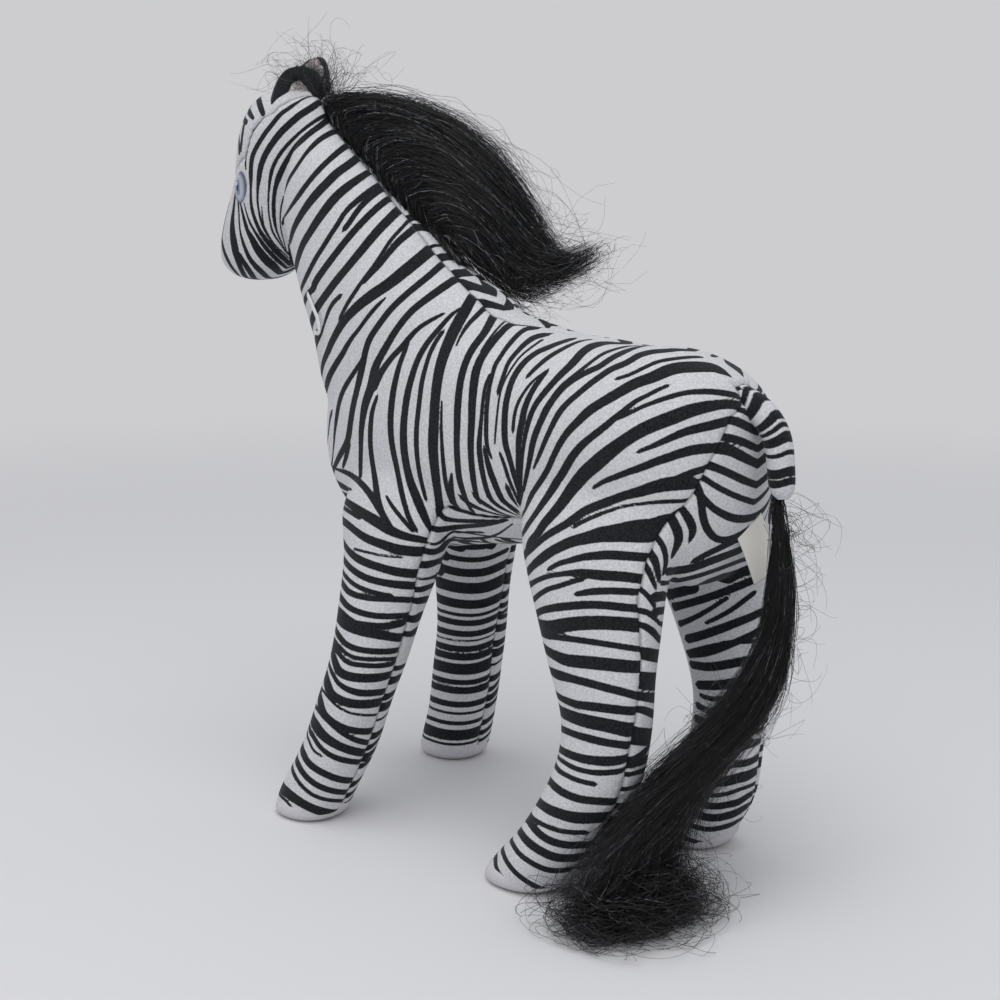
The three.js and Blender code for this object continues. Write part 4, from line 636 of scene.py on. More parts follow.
INNER_HIND = [
    [628, 735, 17, 636, 736, 18, 646, 737, 17],
    [636, 611, 5, 641, 611, 5, 646, 612, 5, 651, 615.5, 4.5, 655, 620, 3],
    [638, 625, 5, 643, 625.5, 5, 647, 628, 6, 651, 631, 6, 655, 636, 5],
    [637, 653, 11, 645, 653.5, 12, 650, 654.5, 12, 654, 655.5, 12, 658, 656, 12],
    [637, 680, 16, 644, 680.5, 17, 650, 681, 17, 657, 681.5, 17],
    [637, 696, 8, 644, 696.5, 8, 650, 697.5, 9, 656, 698, 8],
    [635, 709, 6, 641, 709.5, 6.5, 648, 712, 7, 654, 715, 6],
]
RIGHT_THIGH = [
    [668, 571.5, 7, 690, 568.5, 7, 715, 558.5, 7, 741.5, 548.5, 7],
    [661.5, 583, 4, 690, 578, 4, 715, 570, 4, 746.5, 558, 4],
    [654, 597, 9, 681.5, 591.5, 9, 706.5, 583.5, 9, 750, 568.5, 9],
    [655, 611, 7, 681.5, 605, 7, 706.5, 598, 7, 733.5, 588, 7, 752, 580, 7],
    [660, 624, 5, 675, 625.5, 5, 700, 615, 4, 727, 598, 3],
    [707, 622.5, 3, 730, 611, 4, 753, 593, 4],
    [668, 637, 6, 682, 640, 8, 712, 632, 8, 753, 616, 7],
    [688, 652, 3, 700, 649, 4, 719, 644, 3],
    [690, 655.5, 4, 712, 652, 6, 753, 634, 6],
    [692, 664.5, 7, 712, 667, 8, 750, 659, 8],
    [699, 685, 8, 720, 685, 9, 745, 680, 9],
    [701, 695, 3, 712, 699, 4, 730, 697, 4],
    [698, 705, 5, 712, 711, 5, 745, 707, 5],
    [697, 718, 6, 712, 724, 7, 752, 719, 7],
    [696, 731, 3, 712, 737, 4, 757, 731, 4],
    [695, 742, 5, 712, 748, 6, 760, 741, 6],
]


FOLD = [
    [449, 508, 2, 470, 514, 2.5, 492, 517, 2, 510, 518, 1],
    [463, 497, 3, 468, 501, 3, 475, 505, 3, 490, 511, 2, 510, 517.5, 1],
    [477, 495, 3, 481, 499, 3, 487, 503, 3, 500, 511, 2, 513, 517, 1],
    [490, 495, 3, 495, 501, 3, 503, 507, 2.5, 518, 515, 1],
    [500, 495, 3, 510, 506, 2.5, 520, 514, 1],
    [438, 512, 4, 445, 519, 4, 456, 521, 3, 470, 521, 3, 493, 521, 2.5, 507, 519.5, 1.5],
    [430, 528, 4, 438, 530, 5, 448, 529, 4.5, 462, 527, 3.5, 487, 524, 3, 508, 520, 1.5],
    [453, 537, 1, 470, 538.5, 2, 495, 535, 2, 513, 523, 1.5],
    [458, 533, 1, 470, 532, 1.5, 483, 532, 1.5],
]
FRONT_RIGHT_RINGS = [(545, 5), (558, 4), (571, 7), (586, 10), (602, 8), (613, 2.5), (621, 5), (632, 5),
                     (639, 1.5), (647, 5), (655, 6), (667, 10), (680, 4), (688, 6), (702, 5), (711, 2),
                     (721, 3), (733, 10), (742, 2), (750, 2)]


def bolder(band):
    """The band's rows x, y, width, smoothed by (1, 2, 1)/4 twice, each width increased by up to
    1.4 (2.0 on the neck) where it is 3 or more, by less where it is a hairline, and hardly at all
    where the bands crowd together, in front of the hind leg and on the jaw."""
    rows = along(np.reshape(band, (-1, 3)), 4)
    for _ in range(2):
        rows[1:-1] = (rows[:-2] + 2 * rows[1:-1] + rows[2:]) / 4
    x, y = rows[:, 0], rows[:, 1]
    more = np.interp(y, [280, 330], [2.0, 1.4]) * (1 - 0.65 * np.exp(-((x - 510) / 24) ** 2))
    more *= 1 - 0.95 * ease((300 - x) / 14) * ease((y - 172) / 20) * ease((285 - y) / 10)
    rows[:, 2] += more * np.clip(rows[:, 2] / 3, 0, 1)
    return rows


def pointed(line):
    """Both ends run out to a point, 2.2 half widths on along the band's own direction."""
    if len(line) < 2:
        return line
    ends = [row + (row - near) / max(np.linalg.norm((row - near)[:3]), 1e-6) * 2.2 * row[3]
            for row, near in ((line[0], line[1]), (line[-1], line[-2]))]
    for row in ends:
        row[:3] = on_skin(row[:3])
        row[3] = -0.1
    return np.concatenate(([ends[0]], line, [ends[1]]))


def end_run(line):
    """The direction that a band has at its last point, over its last three steps."""
    return unit(line[-1, :3] - line[max(len(line) - 4, 0), :3])


def to_seam(line, side, most=9.0, step=0.7, past=0.8):
    """Leads each end that lies within `most` mm of a seam straight on, `step` mm at a time, until it
    is `past` mm over it; side is -1 for a side panel's band and 1 for a strip's."""
    for _ in range(2):
        line = line[::-1]
        if len(line) < 2 or side * seam_distance(line[-1:, :3])[0] > most:
            continue
        way = end_run(line)
        added, point = [], line[-1, :3]
        while side * seam_distance(point[None])[0] > -past and len(added) < most / step:
            point = on_skin(point + step * way)
            added.append((*point, line[-1, 3]))
        if added and side * seam_distance(point[None])[0] <= -past:
            line = np.concatenate((line, added))
    return line


def drop(band):
    """Bends a flat band on to the cover: rays from the eye point, and on skin that is seen
    slanting, half width = half seen / |seen across-direction| so that it looks as wide as read."""
    seen = []
    for x, y, width in bolder(band).tolist():
        hit, out, _, _ = tree.ray_cast(Vector(EYE_POINT), Vector(ray_through(x, y)).normalized())
        if hit is not None:
            seen.append((*hit, *out, width))
    if len(seen) < 2:
        return np.zeros((0, 4))
    at, facing, width = np.split(np.array(seen), (3, 6), axis=1)
    width = width[:, 0]
    depth = (at - EYE_POINT) @ LOOK
    run = np.gradient(at, axis=0)
    across = unit(np.cross(facing, run))
    flat_run = unit(np.stack((run @ RIGHT, run @ UP), 1))
    flat_across = np.stack((across @ RIGHT, across @ UP), 1)
    share = np.abs(flat_across[:, 0] * flat_run[:, 1] - flat_across[:, 1] * flat_run[:, 0])
    half = width / 2 * depth / FOCAL / np.clip(share, 0.45, 1)
    return np.column_stack((at, half))


def carry_on(line, away, axis, stop, step=1.5, most=40, end=0, least=0.5):
    """Leads a band's end round the cover: steps along normal x axis, turned into from the band's own
    direction over the first 8 and put back on the skin, until stop(point) or `most` steps; the
    half width eases to the band's median. `away` picks the way round; end 0 is the first point."""
    if len(line) < 2:
        return line
    line = line if end else line[::-1]
    point, half, added = line[-1, :3], line[-1, 3], []
    usual = max(min(np.median(line[:, 3]), half), least)
    own, last = end_run(line), away
    for k in range(most):
        on, out, _, _ = tree.find_nearest(Vector(point))
        way = unit(np.cross(np.array(out), axis))
        way *= 1 if way @ last > 0 else -1
        last = way
        turn = ease((k + 1) / 8) if own @ way > -0.2 else 1
        point = on_skin(np.array(on) + unit(turn * way + (1 - turn) * own) * step)
        added.append((*point, half + (usual - half) * ease(k / 6)))
        if stop(point):
            break
    line = np.concatenate((line, added))
    return line if end else line[::-1]


def settle(line, shift):
    """The band moved by shift(points) and put back on the nearest skin."""
    if len(line) == 0:
        return line
    return np.column_stack((on_skin(shift(line[:, :3])), line[:, 3]))


def to_right(p):
    """The right side's point for a left one: mirrored, and below the body led by the leg's centre."""
    w = ease((135 - p[:, 2]) / 30)
    x, y = -p[:, 0], p[:, 1].copy()
    for leg in ("front", "hind"):
        mine = (p[:, 1] < 15) if leg == "front" else (p[:, 1] >= 15)
        lx, ly = leg_centre(f"{leg}_left", p[:, 2])
        rx, ry = leg_centre(f"{leg}_right", p[:, 2])
        x = x + np.where(mine, w * (rx + lx), 0)
        y = y + np.where(mine, w * (ry - ly), 0)
    return np.stack((x, y, p[:, 2]), 1)


def inner(leg, drop_by):
    """Reflects an outer leg band through the leg's seams on to its inner panel, a little lower."""
    def shift(p):
        cx, _ = leg_centre(leg, p[:, 2])
        return np.stack((2 * cx - p[:, 0], p[:, 1], p[:, 2] - drop_by), 1)
    return shift


outwards, backwards, level = np.eye(3)
neck_run = np.array((0.0, -0.55, 0.83))
side_bands = [drop(b) for b in NECK_AND_BARREL]
for k, line in enumerate(side_bands):
    if len(line) and line[-1, 2] > 130 and line[-1, 1] < -58 and line[-1, 2] < 222:
        side_bands[k] = carry_on(line, LOOK, neck_run, lambda p: p[0] < 0.4, end=1, least=0.7)
side_bands += [drop(b) for b in RUMP]
for band in SHOULDER:
    line = drop(band)
    if band[0] < 343:  # it runs off the near outline of the shoulder
        line = carry_on(line, LOOK, level, lambda p: p[0] < 2, most=18)
    side_bands.append(line)
for band in MUZZLE:
    line = drop(band)
    if len(line) > 1 and line[-1, 2] < 226:  # it goes on under the chin
        line = carry_on(line, LOOK, backwards, lambda p: p[0] < 0.5, most=14, end=1)
    side_bands.append(line)
side_bands = [pointed(to_seam(line, -1)) for line in side_bands]
rings = {}
for leg, bands in (("front_left", FRONT_RINGS), ("hind_left", HIND_RINGS)):
    past = lambda p, leg=leg: p[0] < leg_centre(leg, p[2])[0] - 1.5
    rings[leg] = [pointed(to_seam(carry_on(drop(b), LOOK, level, past), -1)) for b in bands]
    side_bands += rings[leg]
folds = [pointed(drop(b)) for b in FOLD]
side_bands += folds
brow_bands = [drop(b) for b in BROW]
for k, line in enumerate(brow_bands[:4]):  # these cross the forehead to their mirror images
    if len(line) < 2:
        continue
    t = np.linspace(0, 1, 17)[:, None]
    _, out, _, _ = tree.find_nearest(Vector(line[0, :3]))
    lift = np.array((0, out[1], out[2])) / max(np.hypot(out[1], out[2]), 1e-6)
    across = line[0, :3] * np.stack((1 - 2 * t[:, 0], 1 + 0 * t[:, 0], 1 + 0 * t[:, 0]), 1)
    across = across + lift * 4 * t * (1 - t) * 0.35 * abs(line[0, 0])
    over = [(*p, max(line[0, 3], 0.8)) for p in on_skin(across)[1:-1]]
    brow_bands[k] = np.concatenate((line[::-1], over))
strip_bands = brow_bands + [pointed(to_seam(drop(b), 1, 6.0)) for b in CREST + BUTTOCK] + folds
past_seam = lambda p: seam_distance(p[None])[0] < -0.5
inner_left, low_shin = [], []  # the right hind shin takes the left one's lowest bands too
for leg, drop_by, first in (("front_left", 3.4, 9), ("hind_left", 3.0, 6)):
    for line in rings[leg][first:]:
        line = settle(line[1:-1], inner(leg, drop_by))
        inner_left.append(carry_on(line, outwards, level, past_seam, 1.0, 24, 1))
        if leg == "hind_left" and inner_left[-1][:, 2].mean() < 44:
            low_shin.append(inner_left[-1])
for bands in (INNER_FRONT, INNER_HIND):
    for band in bands:
        inner_left.append(carry_on(drop(band), LOOK, level, past_seam, 1.0, 34, 1))
inner_right = []
for y, width in FRONT_RIGHT_RINGS:
    left, right = np.interp(y, [545, 750], [438, 421]), np.interp(y, [545, 750], [508, 489])
    smile = [(left + f * (right - left), y + lift, width)
             for f, lift in ((0, -6), (0.25, 0), (0.5, 2), (0.75, 0), (1, -8))]
    line = drop(smile)
    line = line[line[:, 0] < -12]
    inner_right.append(carry_on(line, LOOK, level,
                                lambda p: p[0] < leg_centre("front_right", p[2])[0]))
right_thigh = [pointed(carry_on(drop(b), RIGHT, level, past_seam, 1.0, 44, 1) if b[-2] > 612
                       else to_seam(drop(b), 1, 4.0)) for b in RIGHT_THIGH]
# Out of the view's sight the print is made up: wavy bands across the belly, round the chest and
# up the face, each laid on the skin by rays along an axis.
belly_bands, chest_bands, face_bands = [], [], []
for k, y in enumerate(np.arange(-50, 62, 7.5)):
    xs = np.linspace(-14, 14, 13)
    wave = y + 2.2 * np.sin(xs / 9 + k * 1.7)
    _, at, _ = struck(np.column_stack((xs, wave, np.full(13, 60))), level)
    at = at[at[:, 2] > 96]
    belly_bands.append(np.column_stack((at, np.full(len(at), 1.6 + 0.7 * np.sin(k * 2.3)))))
for k, z in enumerate(np.arange(92, 158, 7.2)):
    xs = np.linspace(-24, 24, 25)
    wave = z + 0.012 * xs**2 + 1.5 * np.sin(xs / 8 + k * 1.9)
    met, at, out = struck(np.column_stack((xs, np.full(25, -200), wave)), backwards)
    half = 1.5 + 0.6 * np.sin(k * 2.1 + xs[met] / 9)
    line = np.column_stack((at, half))[(at[:, 1] < -45) & hidden_from_eye(at, out, 20)]
    chest_bands.append(pointed(line) if len(line) > 2 else line[:0])
for k, x in enumerate((-13.5, -9, -4.5, 0, 4.5, 9, 13.5)):
    zs = np.linspace(220 + 2.0 * abs(k - 3), 258 - 1.5 * abs(k - 3), 14)
    xs = x * np.interp(zs, [214, 226, 240, 258, 262], [0.3, 0.45, 0.75, 1.0, 1.1])
    xs = xs + 0.7 * np.sin(zs / 5 + k)
    _, at, _ = struck(np.column_stack((xs, np.full(14, -300), zs)), backwards)
    half = np.interp(at[:, 2], [220, 244], [0.4, 1.15])
    face_bands.append(pointed(np.column_stack((at, half))))
upright_bands = len(face_bands)
# The end of the muzzle, out of sight in the view, is printed black round two nostrils' rims.
for x, y, z, half in ((0, -160, 211, 5.0), (4.5, -160, 213, 4.2), (-4.5, -160, 213, 4.2),
                      (8, -158, 214, 2.6), (-8, -158, 214, 2.6)):
    spot = on_skin((x, y, z))
    face_bands.append(np.array([(*(spot - (0.3, 0, 0)), half), (*(spot + (0.3, 0, 0)), half)]))
# Two more bands in front of the muzzle's first, where the view doesn't reach.
first_muzzle = side_bands[len(NECK_AND_BARREL) + len(RUMP) + len(SHOULDER)]
cheek_bands = []
for forward, rise in ((4.6, 0.5), (9.4, 1.5)):
    beside = (first_muzzle[2:-2, :3] - (1.5, forward, -rise)).tolist()
    at, out = np.array([tree.find_nearest(Vector(p))[:2] for p in beside]).swapaxes(0, 1)
    line = np.column_stack((at, np.full(len(at), 1.3)))[hidden_from_eye(at, out, 5)]
    cheek_bands.append(pointed(line))
side_bands += cheek_bands


NO_INK = -6.0


def ink_of(bands, side):
    """Largest of (half width - distance to the band's line) over the bands, in mm, at each vertex of
    the left (side 1), the right (-1) or both (0), and NO_INK away from them all."""
    ink = np.full(len(skin_at), NO_INK)
    mine = np.ones(len(skin_at), bool) if side == 0 else skin_at[:, 0] * side >= 0
    own = np.flatnonzero(mine)
    points = skin_at[own]
    for line in bands:
        if len(line) < 2:
            continue
        reach = line[:, 3].max() + 2.5
        lo, hi = line[:, :3].min(0) - reach, line[:, :3].max(0) + reach
        near = np.flatnonzero(((points > lo) & (points < hi)).all(1))
        if len(near) == 0:
            continue
        a, ab = line[:-1, :3], np.diff(line[:, :3], axis=0)
        grow = np.diff(line[:, 3])
        best = np.full(len(near), NO_INK)
        for k in range(len(a)):
            off = points[near] - a[k]
            t = np.clip(off @ ab[k] / max(ab[k] @ ab[k], 1e-9), 0, 1)
            gap = np.linalg.norm(off - t[:, None] * ab[k], axis=1)
            best = np.maximum(best, line[k, 3] + grow[k] * t - gap)
        ink[own[near]] = np.maximum(ink[own[near]], best)
    return ink


seam = seam_distance(skin_at)
right_side = [settle(l, to_right) for l in side_bands]
right_strip = [settle(l, to_right) for l in strip_bands + low_shin]
ink_side = np.maximum(ink_of(side_bands, 1), ink_of(right_side, -1))
ink_strip = np.maximum(ink_of(strip_bands + inner_left, 1), ink_of(right_strip + inner_right, -1))
ink_strip = np.maximum(ink_strip, ink_of(belly_bands + face_bands + right_thigh + chest_bands, 0))
ink_side = np.maximum(ink_side, ink_of(chest_bands + face_bands[upright_bands:], 0))


def record(mesh, **values):
    """Keeps one number for each vertex under each name, for the materials."""
    for label, numbers in values.items():
        layer = mesh.attributes.new(label, "FLOAT", "POINT")
        layer.data.foreach_set("value", numbers.astype(np.float32))


record(merged, ink_side=ink_side, ink_strip=ink_strip, seam=seam)


# ---- Stuffed cover: the cloth ---------------------------------------------------------------
# Printed velour: a short brushed knit pile, white ground with a black print. It gives the eye a
# soft sheen at grazing angles, a fine grain, print edges that follow the loops, no gloss, and
# shade painted into its colour along the seams.
def linear(colour):
    """sRGB hex to linear RGBA: c/12.92 below 0.04045, else ((c+0.055)/1.055)^2.4."""
    c = np.array([int(colour[k:k + 2], 16) / 255 for k in (1, 3, 5)])
    c = np.where(c <= 0.04045, c / 12.92, ((c + 0.055) / 1.055) ** 2.4)
    return (*c.tolist(), 1.0)


def add(nodes, kind, inputs=None, **settings):
    """Adds a node, sets its settings, and sets or links its inputs (a socket links)."""
    made = nodes.nodes.new("ShaderNode" + kind)
    for key, value in settings.items():
        setattr(made, key, value)
    for key, value in (inputs or {}).items():
        if isinstance(value, bpy.types.NodeSocket):
            nodes.links.new(value, made.inputs[key])
        else:
            made.inputs[key].default_value = value
    return made


def material(name, shader):
    """A new material, its node tree and its output joined to the shader that it is given."""
    made = bpy.data.materials.new(name)
    made.use_nodes = True
    made.node_tree.nodes.clear()
    surface = shader(made.node_tree)
    add(made.node_tree, "OutputMaterial", {"Surface": surface.outputs[0]})
    return made


def printed_velour(t):
    where = add(t, "TexCoord").outputs["Object"]
    side = add(t, "Attribute", attribute_name="ink_side").outputs["Fac"]
    strip = add(t, "Attribute", attribute_name="ink_strip").outputs["Fac"]
    sewn = add(t, "Attribute", attribute_name="seam").outputs["Fac"]
    loops = add(t, "TexNoise", {"Vector": where, "Scale": 1300.0, "Detail": 2.5,
                                "Roughness": 0.65}).outputs["Fac"]
    pick = add(t, "MapRange", {"Value": sewn, "From Min": -0.05, "From Max": 0.05}).outputs[0]
    ink = add(t, "Mix", {"Factor": pick, "A": side, "B": strip}).outputs[0]
    rough = add(t, "Math", {0: loops, 1: -0.5}, operation="ADD").outputs[0]
    ink = add(t, "Math", {0: rough, 1: 0.75, 2: ink}, operation="MULTIPLY_ADD").outputs[0]
    black = add(t, "MapRange", {"Value": ink, "From Min": -0.14, "From Max": 0.14}).outputs[0]
    fleck = add(t, "MapRange", {"Value": loops, "From Min": 0.35, "From Max": 0.7,
                                "To Min": 0.0, "To Max": 1.0}).outputs[0]
    white = add(t, "Mix", {"Factor": fleck, "A": linear("#bfc0c5"), "B": linear("#e0e0e3")},
                data_type="RGBA").outputs["Result"]
    dark = add(t, "Mix", {"Factor": fleck, "A": linear("#0f1114"), "B": linear("#292c31")},
               data_type="RGBA").outputs["Result"]
    colour = add(t, "Mix", {"Factor": black, "A": white, "B": dark},
                 data_type="RGBA").outputs["Result"]
    # Painted shade: within 0.75 mm of a seam the cloth's colour is darkened, down to 0.55 at the seam
    # line, as shade in its groove.
    close = add(t, "Math", {0: sewn}, operation="ABSOLUTE").outputs[0]
    groove = add(t, "MapRange", {"Value": close, "From Min": 0.15, "From Max": 0.75,
                                 "To Min": 0.55, "To Max": 1.0}).outputs[0]
    colour = add(t, "Mix", {"Factor": 1.0, "A": colour, "B": groove}, data_type="RGBA",
                 blend_type="MULTIPLY").outputs["Result"]
    bump = add(t, "Bump", {"Height": loops, "Strength": 0.35, "Distance": 0.0003}).outputs[0]
    return add(t, "BsdfPrincipled", {
        "Base Color": colour, "Roughness": 0.95, "Specular IOR Level": 0.15, "Sheen Weight": 0.1,
        "Sheen Roughness": 0.5, "Normal": bump})


# Relief in mm along the vertex normals: the small unevenness of the stuffing, and at a seam a
# sharp groove within a wider dip that comes and goes as the stitches pucker the cloth.
phase = skin_at @ np.array([[0.17, 0.05, 0.11], [0.04, 0.19, -0.08], [-0.09, 0.06, 0.15]]).T
lumps = 0.35 * (np.sin(phase[:, 0]) + np.sin(phase[:, 1] + 1.3) + np.sin(phase[:, 2] + 2.1))
pucker = 0.5 + 0.5 * np.sin(skin_at @ np.array((0.9, 1.1, 1.6)))
groove = -0.75 * np.exp(-(seam / 1.1) ** 2) - 0.25 * pucker * np.exp(-(seam / 2.4) ** 2)
skin_at = skin_at + normal * (0.35 + 0.6 * lumps + groove)[:, None]
put_back(skin_at)
skin.data.polygons.foreach_set("use_smooth", np.ones(len(skin.data.polygons), bool))
velour = material("printed_velour", printed_velour)
skin.data.materials.append(velour)
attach(skin, "body")
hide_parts(*[n for n in frame["nodes"] if n.endswith(("_panel", "_gusset", "_outer", "_inner"))
                    or (n.endswith("_filling") and n != "tail_filling")])


# ---- Soles ----------------------------------------------------------------------------------
# Each foot is closed by an oval of plain white velour, sewn a little way up the leg, so a pale
# band shows all round below the last stripe, with the seam as a fine dark line above it.
SOLE_TOP = 6.6
SOLE_RISE = np.array([0.0, 0.0, 0.25, 0.8, 1.7, 3.0, 4.6, SOLE_TOP - 0.5, SOLE_TOP, SOLE_TOP + 0.1])
SOLE_GROW = np.array([0.5, 0.80, 0.87, 0.935, 0.985, 1.02, 1.03, 1.02, 0.985, 0.9])  # of the leg


def white_velour(t):
    where = add(t, "TexCoord").outputs["Object"]
    loops = add(t, "TexNoise", {"Vector": where, "Scale": 1500.0, "Detail": 2.0}).outputs["Fac"]
    height = add(t, "SeparateXYZ", {"Vector": where}).outputs["Z"]
    # Over the lowest 3 mm of the sole, towards the floor, the colour goes darker and warmer.
    near_floor_tone = add(t, "MapRange", {"Value": height, "From Min": 0.0, "From Max": 0.003}).outputs[0]
    pile = add(t, "Mix", {"Factor": loops, "A": linear("#bfbdc2"), "B": linear("#dcdbe0")},
               data_type="RGBA").outputs["Result"]
    colour = add(t, "Mix", {"Factor": near_floor_tone, "A": linear("#bdb9b8"), "B": pile},
                 data_type="RGBA").outputs["Result"]
    bump = add(t, "Bump", {"Height": loops, "Strength": 0.35, "Distance": 0.0003}).outputs[0]
    return add(t, "BsdfPrincipled", {
        "Base Color": colour, "Roughness": 0.92, "Specular IOR Level": 0.2, "Sheen Weight": 0.1,
        "Sheen Roughness": 0.5, "Normal": bump})


sole_cloth = material("white_velour", white_velour)
c, n = superellipse(64, ROUNDNESS)
for leg, rows in LEGS.items():
    table = np.array(rows)[::-1]
    cx, cy = leg_centre(leg, SOLE_RISE)
    wide, deep = (SOLE_GROW * (np.interp(SOLE_RISE, table[:, 2], table[:, k]) - 0.1) for k in (3, 4))
    rings_at = np.stack((cx[:, None] + wide[:, None] * c, cy[:, None] + deep[:, None] * n,
                         np.repeat(SOLE_RISE[:, None], 64, 1)), -1)
    pad = mesh_piece(f"{leg}_sole_pad", *closed_rings(rings_at, (cx[0], cy[0], 0),
                                                     (cx[-1], cy[-1], SOLE_TOP)))
    pad.data.materials.append(sole_cloth)
    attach(pad, "body")
    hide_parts(f"{leg}_sole")


# ---- Tail tube ------------------------------------------------------------------------------
# A narrow stuffed tube of the same printed cloth, sewn to the rump under the dorsal strip, with
# rings of print, drawn in round the knot of the tail hair at its end.
def swept(path, half_wide, half_deep, sides, power=2.0):
    """Rings carried along a path: point + side*w*cos + normal*d*sin, normal = run x side."""
    run = unit(np.gradient(path, axis=0))
    side = unit(np.array((1.0, 0, 0)) - run * run[:, :1])
    up = np.cross(run, side)
    c, n = superellipse(sides, power)
    return (path[:, None] + side[:, None] * (half_wide[:, None] * c)[..., None]
            + up[:, None] * (half_deep[:, None] * n)[..., None])


TAIL = np.array([  # x, y in the view and half width in mm, down the middle of the tube
    (720, 389, 3.0), (731, 393, 4.2), (745, 400, 4.6), (758, 409, 4.8), (768, 420, 4.8),
    (775.5, 434, 4.8), (779.5, 450, 4.7), (781, 468, 4.6), (782, 484, 4.4), (783, 493, 3.6),
    (783.5, 499, 2.0)])
TAIL_SIDES = 40
TAIL_BANDS = [(392, 9), (400.5, 2.5), (408, 6), (422.5, 6), (430.5, 3), (440, 8), (453, 3.2),
              (471, 8.5), (481, 7)]  # y in the view and black width
TAIL_SCALE = 0.335  # mm to a thousandth of the view, along the tube
on_tail = seen_at(TAIL[:, 0], TAIL[:, 1], 0 * TAIL[:, 0])
tail_rows = along(np.column_stack((on_tail, TAIL[:, 1:])), 10)
rings_at = swept(tail_rows[:, :3], tail_rows[:, 4], tail_rows[:, 4], TAIL_SIDES)
verts, faces = closed_rings(rings_at, tail_rows[0, :3], tail_rows[-1, :3])
tail = mesh_piece("tail_cover", verts, faces)
down = np.append(np.repeat(tail_rows[:, 3], TAIL_SIDES), (tail_rows[0, 3], tail_rows[-1, 3]))
down = down + np.sin(verts[:, 0] * 0.8) - 0.36 * verts[:, 0]  # the rings of print lean and wave
ink = np.max([(w / 2 + 0.6 - np.abs(down - y)) * TAIL_SCALE for y, w in TAIL_BANDS], axis=0)
# The tube's seam line; along it the velour's colour takes the painted seam shade.
seam_line = -np.hypot(verts[:, 0] + 3.6, np.maximum(0, verts[:, 1] - 121)) - 0.2
record(tail.data, ink_side=ink, ink_strip=ink, seam=seam_line)
tail.data.materials.append(velour)
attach(tail, "tail")
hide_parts("tail_tube", "tail_filling")


# ---- Ears -----------------------------------------------------------------------------------
# Rounded black velour ears with a thick turned rim and a small pale lining, cupped and sewn on
# by the root; the left one is twisted so that its hollow looks out and a little backwards.
def merged_piece(name, verts, faces):
    """A piece whose coincident vertices are merged, with its faces turned outwards."""
    piece = mesh_piece(name, verts, faces)
    form = bmesh.new()
    form.from_mesh(piece.data)
    bmesh.ops.remove_doubles(form, verts=form.verts, dist=2e-6)
    bmesh.ops.recalc_face_normals(form, faces=form.faces)
    for face in form.faces:
        face.smooth = True
    form.to_mesh(piece.data)
    form.free()
    return piece


def thick_sheet(middle, thickness):
    """Two layers at +-thickness/2 along the surface normal of a grid (n, m, 3); they meet at the
    rim, where the thickness is 0."""
    normal = unit(np.cross(np.gradient(middle, axis=0), np.gradient(middle, axis=1)))
    n, m = middle.shape[:2]
    top = (middle + normal * thickness[..., None] / 2).reshape(-1, 3)
    low = (middle - normal * thickness[..., None] / 2).reshape(-1, 3)
    i, j = np.meshgrid(np.arange(n - 1), np.arange(m - 1), indexing="ij")
    a = i * m + j
    quads = np.stack((a, a + m, a + m + 1, a + 1), -1).reshape(-1, 4)
    return np.concatenate((top, low)), np.concatenate((quads, quads[:, ::-1] + n * m))


def turned(points, root, turn_deg, lean_deg):
    """Leans about X away from the hollow, turns about Z, moves to the root."""
    t, l = np.radians(turn_deg), -np.radians(lean_deg)
    lean = np.array(((1, 0, 0), (0, np.cos(l), -np.sin(l)), (0, np.sin(l), np.cos(l))))
    turn = np.array(((np.cos(t), -np.sin(t), 0), (np.sin(t), np.cos(t), 0), (0, 0, 1)))
    return points @ (turn @ lean).T + root


# Each ear's root, its turn and lean in degrees, and how much thicker its rim is than its middle.
EARS = {"left": ((6.9, -100.9, 271.6), 122, 6, 4.0), "right": ((-8.9, -108.6, 276.4), 86, 2, 0.9)}
EAR_WIDE, EAR_TALL, EAR_CUP = 12.2, 21.5, 3.0
u, v = np.meshgrid(np.linspace(-1, 1, 49), np.linspace(0, 1, 41), indexing="ij")


def ear_shell(across, rise, forward):
    """Cupped blade: x = across wide cos(90 v)^0.7, y = -forward - cup across^2 (1 - v),
    z = tall sin(90 v) - 3, its seat slanting by 1.4 across at the foot."""
    angle = rise * np.pi / 2
    half = EAR_WIDE * np.clip(np.cos(angle), 0, 1) ** 0.7
    return np.stack((across * half, -forward - EAR_CUP * across**2 * (1 - rise),
                     np.sin(angle) * EAR_TALL - 3 + 1.4 * across * (1 - rise)), -1)


def black_velour(t):
    where = add(t, "TexCoord").outputs["Object"]
    loops = add(t, "TexNoise", {"Vector": where, "Scale": 1500.0, "Detail": 2.0}).outputs["Fac"]
    colour = add(t, "Mix", {"Factor": loops, "A": linear("#141517"), "B": linear("#2e3034")},
                 data_type="RGBA").outputs["Result"]
    bump = add(t, "Bump", {"Height": loops, "Strength": 0.4, "Distance": 0.0003}).outputs[0]
    return add(t, "BsdfPrincipled", {
        "Base Color": colour, "Roughness": 0.92, "Specular IOR Level": 0.2, "Sheen Weight": 0.2,
        "Sheen Roughness": 0.45, "Normal": bump})


def pink_lining(t):
    where = add(t, "TexCoord").outputs["Object"]
    crinkle = add(t, "TexNoise", {"Vector": where, "Scale": 520.0, "Detail": 4.0,
                                  "Distortion": 2.5}).outputs["Fac"]
    # Painted shade: the lining is dark in the hollows of its crinkles and pale on their tops.
    crinkle_shade = add(t, "MapRange", {"Value": crinkle, "From Min": 0.38, "From Max": 0.62}).outputs[0]
    colour = add(t, "Mix", {"Factor": crinkle_shade, "A": linear("#77706f"), "B": linear("#d6cdcc")},
                 data_type="RGBA").outputs["Result"]
    bump = add(t, "Bump", {"Height": crinkle, "Strength": 0.6, "Distance": 0.0006}).outputs[0]
    return add(t, "BsdfPrincipled", {"Base Color": colour, "Roughness": 0.75, "Normal": bump,
                                     "Sheen Weight": 0.3, "Sheen Roughness": 0.4})


